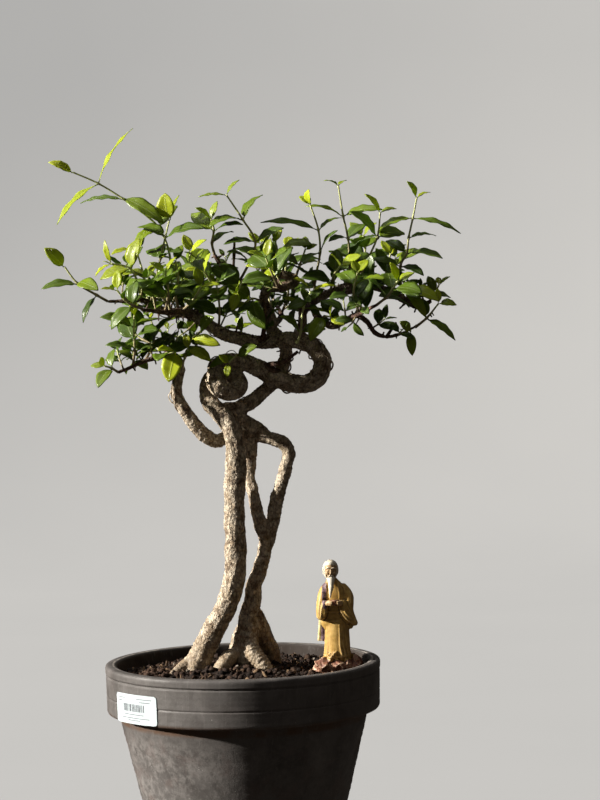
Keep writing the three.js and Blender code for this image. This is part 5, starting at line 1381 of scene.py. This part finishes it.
# Lines: paint, then (x, y, z, radius) points, also made on both sides.
HEAD_LINES = [
    ("skin", [(0, -5.9, 1.6, 0.55), (0, -6.8, -0.8, 0.65), (0, -7.5, -2.9, 0.9)]),
    ("skin", [(0.6, -6, 1.9, 0.6), (2.4, -5.8, 2.4, 0.7), (4.2, -4.6, 1.9, 0.6)]),
    ("hair", [(1, -6.4, 1.9, 0.3), (2.5, -6.3, 2.5, 0.48), (4.1, -5.2, 2.1, 0.34), (4.9, -4.2, 1.3, 0.22)]),
    ("ink", [(1.25, -5.85, -0.15, 0.13), (2.35, -6.15, -0.42, 0.18), (3.5, -5.5, -0.2, 0.13)]),
    ("bowl", [(0, -6.5, -5.3, 0.42), (1, -6.3, -5.2, 0.36), (1.7, -5.9, -5.1, 0.22)]),
    ("hair", [(0.2, -6.9, -4.1, 0.5), (1.3, -6.8, -4.5, 0.62), (2.6, -6.1, -5.8, 0.5),
        (3.1, -5.8, -8.2, 0.34), (3, -6.2, -10.6, 0.2)]),
    ("hair", [(5.2, -2.6, 2, 0.5), (5.4, -3, -1.6, 0.5), (4.7, -4.1, -5, 0.6), (3, -5.8, -8, 0.5)]),
]


class Sculpture:
    """Soft forms that are fused into one skin, which takes the paint of the nearest form."""

    def __init__(self):
        self.form = Form()
        self.paints = []

    def add(self, paint, points, faces):
        self.form.add(points, faces)
        self.paints += [PAINTS.index(paint)] * (self.form.count - len(self.paints))

    def ovals(self, paint, sections, step=0.7, sides=48, folds=lambda angle, z: 0):
        """A form through (x, y, z, half width, half depth) ovals."""
        rings = []
        for x, y, z, wide, deep in Route(sections).samples(step):
            turns = [(a, folds(a, z)) for a in around(sides)]
            rings.append([
                (x + (wide + f) * math.cos(a), y + (deep + f) * math.sin(a), z) for a, f in turns
            ])
        self.add(paint, rings, skin_faces(len(rings), sides))

    def line(self, paint, points):
        rows = Route(points).samples(0.35)
        rings = tube_rings(rows[:, :3], rows[:, 3], LINE_SIDES)
        self.add(paint, rings, skin_faces(len(rings), LINE_SIDES))

    def remember_surface(self):
        points = [Vector(p) for p in np.vstack(self.form.points)]
        self.surface = BVHTree.FromPolygons(points, self.form.faces)

    def fold(self, points, way):
        """A raised line of cloth through (x, z, radius) points, on the front (1) or the back (-1)."""
        placed = []
        for x, _, z, radius in Route([(x, 0, z, r) for x, z, r in points]).samples(0.8):
            hit = self.surface.ray_cast(Vector((x, -60 * way, z)), Vector((0, way, 0)))[0]
            if hit:
                placed.append((x, hit.y + way * 0.3 * radius, z, radius))
        self.line("cloth", placed)

    def fuse(self, name, voxel, smoothing):
        mesh = fused(self.form, name, voxel, smoothing)
        points = coordinates(mesh)
        source = finder(np.vstack(self.form.points))
        nearest = np.array([self.paints[source.find(Vector(p))[1]] for p in points])
        edges = np.empty(len(mesh.edges) * 2, np.int32)
        mesh.edges.foreach_get("vertices", edges)
        edges = edges.reshape(-1, 2)
        normals = vertex_normals(mesh)
        for i, paint in enumerate(PAINTS[1:], 1):
            set_value(mesh, paint, evened((nearest == i).astype(float), edges, 2))
        # How deep each point lies in a hollow, for the painted shade there.
        hollow = ((evened(points, edges, 4) - points) * normals).sum(1)
        set_value(mesh, "hollow", evened(hollow / voxel, edges, 1))
        return mesh, points, normals


def evened(values, edges, turns):
    """Values at a mesh's points, evened out along its edges."""
    for _ in range(turns):
        total, count = values.copy(), np.ones(len(values))
        for a, b in ((0, 1), (1, 0)):
            np.add.at(total, edges[:, a], values[edges[:, b]])
            np.add.at(count, edges[:, a], 1)
        values = (total.T / count).T
    return values


def distance_to_line(x, z, line):
    """How far points lie from a line of (x, z) points."""
    nearest = np.full(len(x), 1e9)
    for (ax, az), (bx, bz) in zip(line, line[1:]):
        span = (bx - ax) ** 2 + (bz - az) ** 2
        t = np.clip(((x - ax) * (bx - ax) + (z - az) * (bz - az)) / span, 0, 1)
        nearest = np.minimum(nearest, np.hypot(x - ax - t * (bx - ax), z - az - t * (bz - az)))
    return nearest


def skirt_fold(angle, z):
    low = 1 - (z - 12) / 38
    turns = [(math.degrees(angle) - at + 180) % 360 - 180 for at in SKIRT_FOLDS]
    return sum((0.25 + 0.5 * low) * math.exp(-((turn / 8) ** 2)) for turn in turns)


def make_figure_body(material):
    body = Sculpture()
    draw = random(61)
    for x, y, z, *size in ROCKS:
        lump = Form()
        add_lump(lump, (x, y, z), size, draw, roughness=0.5)
        body.add("rock", lump.points[0], lump.faces)
    body.ovals("cloth", SKIRT, folds=skirt_fold, sides=120)
    for paint, sections in BODY_FORMS:
        body.ovals(paint, sections)
    for finger in FINGERS:
        body.line("skin", finger)
    body.remember_surface()
    for folds, way in ((FRONT_FOLDS, 1), (BACK_FOLDS, -1)):
        for points in folds:
            body.fold(points, way)
    mesh, points, normals = body.fuse("clay_figure", BODY_VOXEL, 2)
    away = distance_to_line(points[:, 0], points[:, 2], BORDER)
    front = smoothstep(0.15, -0.1, normals[:, 1])
    purple = smoothstep(BORDER_HALF + 0.35, BORDER_HALF - 0.35, away) * front
    for other in ("skin", "bowl"):
        purple *= 1 - np.clip(get_value(mesh, other) * 2, 0, 1)
    set_value(mesh, "purple", np.maximum(get_value(mesh, "purple"), purple))
    spots = [Vector(p) for p in points]
    rough = np.array([noise.noise(spot / 2.2) * 0.5 + noise.noise(spot / 0.9) * 0.25 for spot in spots])
    rock = smoothstep(14.5, 11, points[:, 2])
    move(mesh, points + normals * (rough * rock)[:, None] + FIGURE_AT)
    piece("clay_figure", mesh, [material], ["figurine"])


def make_figure_head(material):
    head = Sculpture()
    for paint, sections in HEAD_FORMS:
        head.ovals(paint, sections, step=0.45)
    for side in (1, -1):
        turn = np.array([side, 1, 1])
        for paint, centre, size in HEAD_BALLS:
            head.add(paint, FINE_BALL[0] * size + np.array(centre) * turn, FINE_BALL[1])
        for paint, points in HEAD_LINES:
            head.line(paint, [(x * side, y, z, r) for x, y, z, r in points])
    draw = random(62)
    # Strands of hair from the crown down, and of the beard.
    for i in range(HAIR_STRANDS):
        angle = math.radians(-22 + 224 * i / (HAIR_STRANDS - 1))
        wide, deep = 6.6 * math.cos(angle), 6.2 * math.sin(angle)
        sway = 0.5 * (draw() - 0.5)
        head.line("hair", [
            (0.18 * wide, 0.7 + 0.2 * deep, 9.1, 0.3), (0.62 * wide + sway, 0.9 + 0.66 * deep, 7.2, 0.5),
            (0.98 * wide, 1.5 + 0.98 * deep, 2.6, 0.55), (0.96 * wide - sway, 2 + 0.92 * deep, -2.6, 0.55),
            (0.78 * wide, 2.4 + 0.74 * deep, -6.2 + draw(), 0.35),
        ])
    for i in range(BEARD_STRANDS):
        across = 2 * i / (BEARD_STRANDS - 1) - 1
        full = 1 - across**2
        sway = 0.4 * (draw() - 0.5)
        head.line("hair", [
            (2.5 * across, -6.4 - 1.6 * full, -8, 0.42),
            (1.9 * across + sway, -8.6 - 1.6 * full, -14, 0.45),
            (1.2 * across - 0.6 + sway, -9.7 - full, -19, 0.38),
            (0.4 * across - 1, -10.1, -23.6, 0.2),
        ])
    mesh, points, _ = head.fuse("figure_head", HEAD_VOXEL, 1)
    move(mesh, points + HEAD_AT + FIGURE_AT)
    piece("figure_head", mesh, [material])


def figure_material():
    """Old painted clay, with painted shade and a dark wash in its hollows, and paler rubbed edges."""
    paint = Paint("old_paint")
    mottle = paint.noise(240, 5, 0.62)
    paint.colour = paint.ramp(
        mottle, (0.3, (0.32, 0.18, 0.04)), (0.5, (0.48, 0.295, 0.075)), (0.7, (0.58, 0.385, 0.125)),
    )
    paint.lay(paint.band(paint.noise(90, 4), 0.52, 0.68, 0, 0.35), (0.28, 0.185, 0.05))
    for name, dark, pale in (
        ("purple", (0.05, 0.022, 0.028), (0.19, 0.115, 0.14)),
        ("hair", (0.58, 0.52, 0.4), (0.8, 0.75, 0.62)),
        ("skin", (0.4, 0.25, 0.11), (0.5, 0.33, 0.17)),
        ("bowl", (0.16, 0.045, 0.02), (0.3, 0.1, 0.05)),
        ("hem", (0.6, 0.47, 0.2), (0.72, 0.6, 0.32)),
        ("ink", (0.035, 0.02, 0.012), (0.05, 0.03, 0.02)),
    ):
        tone = paint.mix(paint.band(mottle, 0.38, 0.62), dark, pale)
        paint.lay(paint.band(paint.value(name), 0.35, 0.65), tone)
    stone = paint.ramp(
        paint.noise(150, 6, 0.65, distortion=0.8), (0.34, (0.05, 0.02, 0.014)), (0.47, (0.2, 0.075, 0.045)),
        (0.58, (0.32, 0.16, 0.1)), (0.66, (0.6, 0.45, 0.3)),
    )
    paint.lay(paint.band(paint.value("rock"), 0.35, 0.65), stone)
    hollow = paint.value("hollow")
    # Painted shade and a dark wash darken the hollows; raised edges are rubbed paler.
    paint.tint(paint.band(hollow, 0.02, 0.2, 0, 0.8), 0.75, (0.03, 0.017, 0.008))
    paint.tint(paint.band(hollow, -0.06, -0.24, 0, 0.45), 0.6, (0.72, 0.6, 0.4))
    chips = paint.band(paint.cells(420), 0.14, 0.06)
    chosen = paint.band(paint.noise(130, 3), 0.58, 0.66)
    paint.lay(paint.times(chips, chosen, 0.7), (0.1, 0.055, 0.03))
    paint.emboss(paint.noise(520, 5, 0.6), 0.12, 0.6)
    return paint.finish(paint.band(mottle, 0.35, 0.7, 0.48, 0.62), 0.4)


# Leafy shoots. Angles are in degrees.

STEM_RADIUS = (1.9, 1)
BLADE_THICKNESS = 0.7
LIGHT = np.array([-0.3, -0.62, 0.72])
FOLD = math.tan(math.radians(17))
MISSING_SHARE = 0.04
SPREAD = 60
TIP_SPREAD = 42
SPREAD_RANGE = 16
RISE = 0.2
LEAST_LEAN = 0.42
ROLL_RANGE = 36
AIMED_ROLL_RANGE = 20
TIP_GROWTH = 0.5
FIRST_PAIR_GROWTH = 0.84
TIP_WIDTH = 0.46
ARCH = 42
TIP_ARCH = 25
ARCH_RANGE = 30
PAIR_TURN_RANGE = 24
# A leaf's tip lies this close to a point of the frame's shoot.
TIP_TOLERANCE = 0.06
# What a leaf tries in turn: a turn round the stem, a change in how far it spreads, and a share of
# its length. The frame's shoots show which one each leaf took.
TRIES = (
    (0, 0, 1), (16, 0, 1), (-16, 0, 1), (0, 14, 0.95), (0, -14, 0.95), (32, 6, 0.92), (-32, 6, 0.92),
    (20, -16, 0.85), (-20, -16, 0.85), (40, 12, 0.8), (-40, 12, 0.8), (0, 20, 0.7), (0, 0, 0.6),
)


class StemLine:
    """A shoot's middle line, with the share of its length at which each pair of leaves sits."""

    def __init__(self, shoot):
        points = shoot["stem"]
        self.route = Route(points)
        chord = unit(np.subtract(points[-1], points[0]))
        self.reference = X if abs(chord[0]) < 0.85 else Z
        if "at" in shoot:
            lengths = self.route.lengths
            steps = (len(lengths) - 1) / (len(points) - 1)
            self.shares = [lengths[math.floor(i * steps + 0.5)] / lengths[-1] for i in shoot["at"]]
        else:
            last = shoot["pairs"] - 1
            self.shares = [lerp(shoot["first"], 1, pair / last) for pair in range(last + 1)]

    def frame(self, share):
        t = self.route.time(share)
        tangent = self.route.tangent(t)
        first = unit(self.reference - tangent * self.reference.dot(tangent))
        return self.route.at(t), tangent, first, np.cross(tangent, first)


def across_stem(first, second, degrees):
    return first * math.cos(math.radians(degrees)) + second * math.sin(math.radians(degrees))


def upper_side(direction, tangent, roll):
    """The normal of a leaf's upper side, which turns to the light and to the shoot's tip."""
    up = LIGHT * 0.8 + tangent * 0.3
    normal = unit(up - direction * up.dot(direction))
    return across_stem(normal, np.cross(direction, normal), roll)


def leaf_pose(shoot, line, pair, facing, draws, aim, attempt):
    """How one leaf lies: its base, direction, upper side's normal, length, width and arch."""
    turned, spreads, scale = attempt
    share = line.shares[pair]
    point, tangent, first, second = line.frame(share)
    outward = across_stem(first, second, facing)
    base = point + outward * 0.7 * lerp(*STEM_RADIUS, share)
    if aim:
        chord = np.array(aim[:3]) - base
        reach = np.linalg.norm(chord) * scale
        chord = unit(chord)
        up = upper_side(chord, tangent, AIMED_ROLL_RANGE * (draws[1] - 0.5))
        half = math.radians(16 + 10 * draws[4])
        direction = chord * math.cos(half) + up * math.sin(half)
        normal = up * math.cos(half) - chord * math.sin(half)
        return base, direction, normal, reach * half / math.sin(half), aim[3] * scale, 2 * half
    tip = pair == len(line.shares) - 1
    spread = math.radians((TIP_SPREAD if tip else SPREAD) + SPREAD_RANGE * (draws[0] - 0.5) + spreads)
    sideways = across_stem(first, second, facing + turned)
    direction = unit(tangent * math.cos(spread) + sideways * math.sin(spread) + Z * RISE)
    lean = direction.dot(outward)
    if lean < LEAST_LEAN:
        direction = unit(direction + outward * (LEAST_LEAN - lean))
    normal = upper_side(direction, tangent, ROLL_RANGE * (draws[1] - 0.5))
    grown = TIP_GROWTH if tip else FIRST_PAIR_GROWTH if pair == 0 else 1
    length = shoot["leaf"] * grown * (0.88 + 0.24 * draws[2]) * scale
    width = length * (TIP_WIDTH if tip else 0.4 + 0.12 * draws[3])
    arch = math.radians((TIP_ARCH if tip else ARCH) + ARCH_RANGE * (draws[4] - 0.5))
    return base, direction, normal, length, width, arch


def blade_points(pose, share, across, lift):
    """Points on a blade that is arched along its length. The arguments are arrays."""
    base, direction, normal, length, _, arch = pose
    bend = (arch * share)[..., None]
    up = normal * np.cos(bend) + direction * np.sin(bend)
    return (
        base + direction * (length / arch) * np.sin(bend) + normal * (length / arch) * (np.cos(bend) - 1)
        + np.cross(direction, normal) * across[..., None] + up * lift[..., None]
    )


def pair_angles(shoot, line, draw):
    angles = []
    for pair, share in enumerate(line.shares):
        jitter = PAIR_TURN_RANGE * (draw() - 0.5)
        aim = shoot.get("aims", {}).get(pair)
        if aim:
            point, _, first, second = line.frame(share)
            reach = np.array(aim[0][:3]) - point
            angles.append(math.degrees(math.atan2(reach.dot(second), reach.dot(first))))
        else:
            angles.append(shoot["turn"] + 90 * (pair % 2) + jitter)
    return angles


def leaves_of(name, shoot, line, draw):
    """The leaves that the frame's shoot carries: (pair, pose), found by their tips."""
    tips = finder(coordinates(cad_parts[f"shoot_{name}"].data))
    one = np.array(1.0)
    leaves = []
    for pair, angle in enumerate(pair_angles(shoot, line, draw)):
        for side in (0, 1):
            draws = [draw() for _ in range(5)]
            aims = shoot.get("aims", {}).get(pair, [])
            aim = aims[side] if side < len(aims) else None
            if draw() < MISSING_SHARE and not aim:
                continue
            for attempt in TRIES:
                pose = leaf_pose(shoot, line, pair, angle + 180 * side, draws, aim, attempt)
                tip = blade_points(pose, one, 0 * one, one * BLADE_THICKNESS / 2)
                if tips.find(Vector(tip))[2] < TIP_TOLERANCE:
                    leaves.append((pair, pose))
                    break
    return leaves


WIDER = 1.16
STALK = 0.07
STALK_HALF = 0.45
BLADE_ROWS = 14
BLADE_COLUMNS = 3
BLADE_EDGE = 0.22
STEM_SIDES = 9
STEM_SHARES = (1.3, 0.72)
SWELLING = 0.45
SWELLING_REACH = 1.6


def add_blade(form, pose, youth, draw, rows=BLADE_ROWS):
    """A thin closed blade: a short stalk, a pointed oval outline, a soft fold and waved edges."""
    length, width = pose[3], pose[4] * WIDER
    share = np.linspace(0, 1, rows + 1)[:, None]
    side = np.linspace(-1, 1, 2 * BLADE_COLUMNS + 1)[None, :]
    grown = np.clip((share - STALK) / (1 - STALK), 0, 1)
    outline = grown**0.6 * (1 - grown) ** 0.85
    outline /= outline.max()
    across = np.maximum(width / 2 * outline, STALK_HALF * (1 - 0.6 * share)) * side
    soft = 0.09 * width
    fold = FOLD * (np.sqrt(across**2 + soft**2) - soft)
    phase, waves = 6.28 * draw(), 2.2 + 1.6 * draw()
    wave = 0.016 * length * np.sin(6.28 * waves * share + phase + 1.9 * np.sign(side)) * side**2 * outline
    middle = fold + wave - 0.035 * width * side**4
    thickness = BLADE_EDGE + 0.2 * (1 - side**2) + 0.35 * np.clip(1 - share / 0.1, 0, 1)
    share, side = np.broadcast_arrays(share, side)
    sheets = [blade_points(pose, share, across, middle + way * thickness / 2) for way in (1, -1)]
    faces = [(a, d, c, b) for a, b, c, d in sheet_faces(*share.shape)]
    form.add(
        sheets, faces, across=np.tile(side.ravel(), 2), along=np.tile(share.ravel(), 2),
        youth=youth, tone=draw(), under=np.repeat([0, 1], share.size),
    )


def add_stem(form, line, youth, girth=1.0):
    """The round stem, a little swollen where its leaves sit, with a narrow tip."""
    samples = line.route.samples(1.6)
    shares = np.linspace(0, 1, len(samples))
    radii = girth * lerp(*STEM_SHARES, shares)
    for share in line.shares:
        away = (shares - share) * line.route.length / SWELLING_REACH
        radii += SWELLING * girth * np.exp(-(away**2))
    radii[-1] *= 0.5
    youths = np.repeat((youth + shares) * 0.55, STEM_SIDES)
    rings = tube_rings(samples, radii, STEM_SIDES)
    form.skin(rings, 1, across=0, along=0, youth=youths, tone=0.5, under=0)


def make_shoots(leaf, stem):
    for index, (name, shoot) in enumerate(SHOOTS.items()):
        line = StemLine(shoot)
        leaves = leaves_of(name, shoot, line, random(index + 1))
        draw = random(index + 301)
        form = Form()
        young = 0.4 if shoot.get("young") else 0
        add_stem(form, line, 0.1 + 1.6 * young)
        for pair, pose in leaves:
            from_tip = len(line.shares) - 1 - pair
            youth = {0: 0.55 + 0.4 * draw(), 1: 0.2 + 0.3 * draw()}.get(from_tip, 0.2 * draw())
            add_blade(form, pose, min(1.0, youth + young * (0.6 + 0.6 * draw())), draw)
        piece(f"leaves_{name}", form, [leaf, stem], [f"shoot_{name}"])


# Inner twigs: short leafy ones that fill the crown. A row says: limb, the two shares of its length
# between which they grow, how many, their longest stem, and how far they turn to the front.
INNER_TWIGS = [
    (0, 0.86, 0.995, 4, 30, 0.3), (1, 0.0, 0.9, 9, 32, 0.4), (5, 0.2, 0.95, 6, 24, 0.0),
    (3, 0.4, 0.98, 8, 34, 0.05), (7, 0.1, 0.85, 6, 26, 0.6), (8, 0.1, 0.95, 7, 28, 0.6),
    (18, 0.3, 0.9, 3, 26, 0.3), (19, 0.5, 0.9, 2, 28, 0.6), (20, 0.3, 0.9, 3, 26, 0.3),
    (21, 0.3, 0.9, 3, 26, 0.3), (22, 0.3, 0.9, 3, 28, 0.6), (23, 0.4, 0.9, 2, 26, 0.6),
    (24, 0.2, 0.9, 3, 24, 0.3),
]
CLEAR_OF_WOOD = 1.2
TWIG_GIRTH = 0.7
TWIG_BLADE_ROWS = 9
LONG_TWIG = 20


def make_inner_twigs(leaf, stem, centreline):
    centres, radii = centreline[0], centreline[4]
    tree = finder(centres)
    low, high = (np.array(corner) / MM for corner in cad_box)
    draw = random(77)

    def clear(point):
        """Whether a point lies clear of the wood, and inside the solids' box."""
        inside = np.all(point > low + 1) and np.all(point < high - 1)
        near = tree.find_n(Vector(point), 3)
        return inside and all(distance > radii[i] + CLEAR_OF_WOOD for _, i, distance in near)

    for limb, start, end, count, longest, ahead in INNER_TWIGS:
        route = Route(LIMBS[limb])
        form = Form()
        for k in range(count):
            t = route.time(lerp(start, end, (k + 0.2 + 0.6 * draw()) / count))
            *point, radius = route.at(t)
            tangent = route.tangent(t)
            wanted = np.array([draw() - 0.5, draw() - ahead, 0.9 * draw() - 0.12])
            away = unit(wanted - tangent * tangent.dot(wanted))
            length = longest * (0.4 + 0.6 * draw())
            root = np.array(point) + away * radius * 0.75
            bend = np.array([draw() - 0.5, draw() - 0.6, 0.25 + 0.3 * draw()]) * length * 0.4
            tip = root + away * length + bend
            if not clear(tip):
                continue
            middle = (root + tip) / 2 - bend * 0.3
            twig = dict(stem=[root, middle, tip], pairs=2 + (length > LONG_TWIG), first=0.42)
            twig.update(leaf=15 + 13 * draw(), turn=180 * draw())
            line = StemLine(twig)
            youth = 0.75 * draw() ** 3.5
            add_stem(form, line, 0.1 + youth, TWIG_GIRTH)
            for pair, angle in enumerate(pair_angles(twig, line, draw)):
                for side in (0, 1):
                    draws = [draw() for _ in range(5)]
                    pose = leaf_pose(twig, line, pair, angle + 180 * side, draws, None, TRIES[0])
                    ends = blade_points(pose, np.array([0.55, 1.0]), np.zeros(2), np.zeros(2))
                    if clear(ends[0]) and clear(ends[1]):
                        add_blade(form, pose, min(1, youth + 0.2 * draw()), draw, TWIG_BLADE_ROWS)
        piece(f"inner_twigs_{limb}", form, [leaf, stem])


make_camera()
make_stage()
make_lights()
make_pot(clay_material())
make_label()
bark = bark_material()
centreline = make_wood(bark)
make_rootlets(bark)
make_soil(centreline)
old_paint = figure_material()
make_figure_body(old_paint)
make_figure_head(old_paint)
leaf, stem = leaf_material(), stem_material()
make_shoots(leaf, stem)
make_inner_twigs(leaf, stem, centreline)
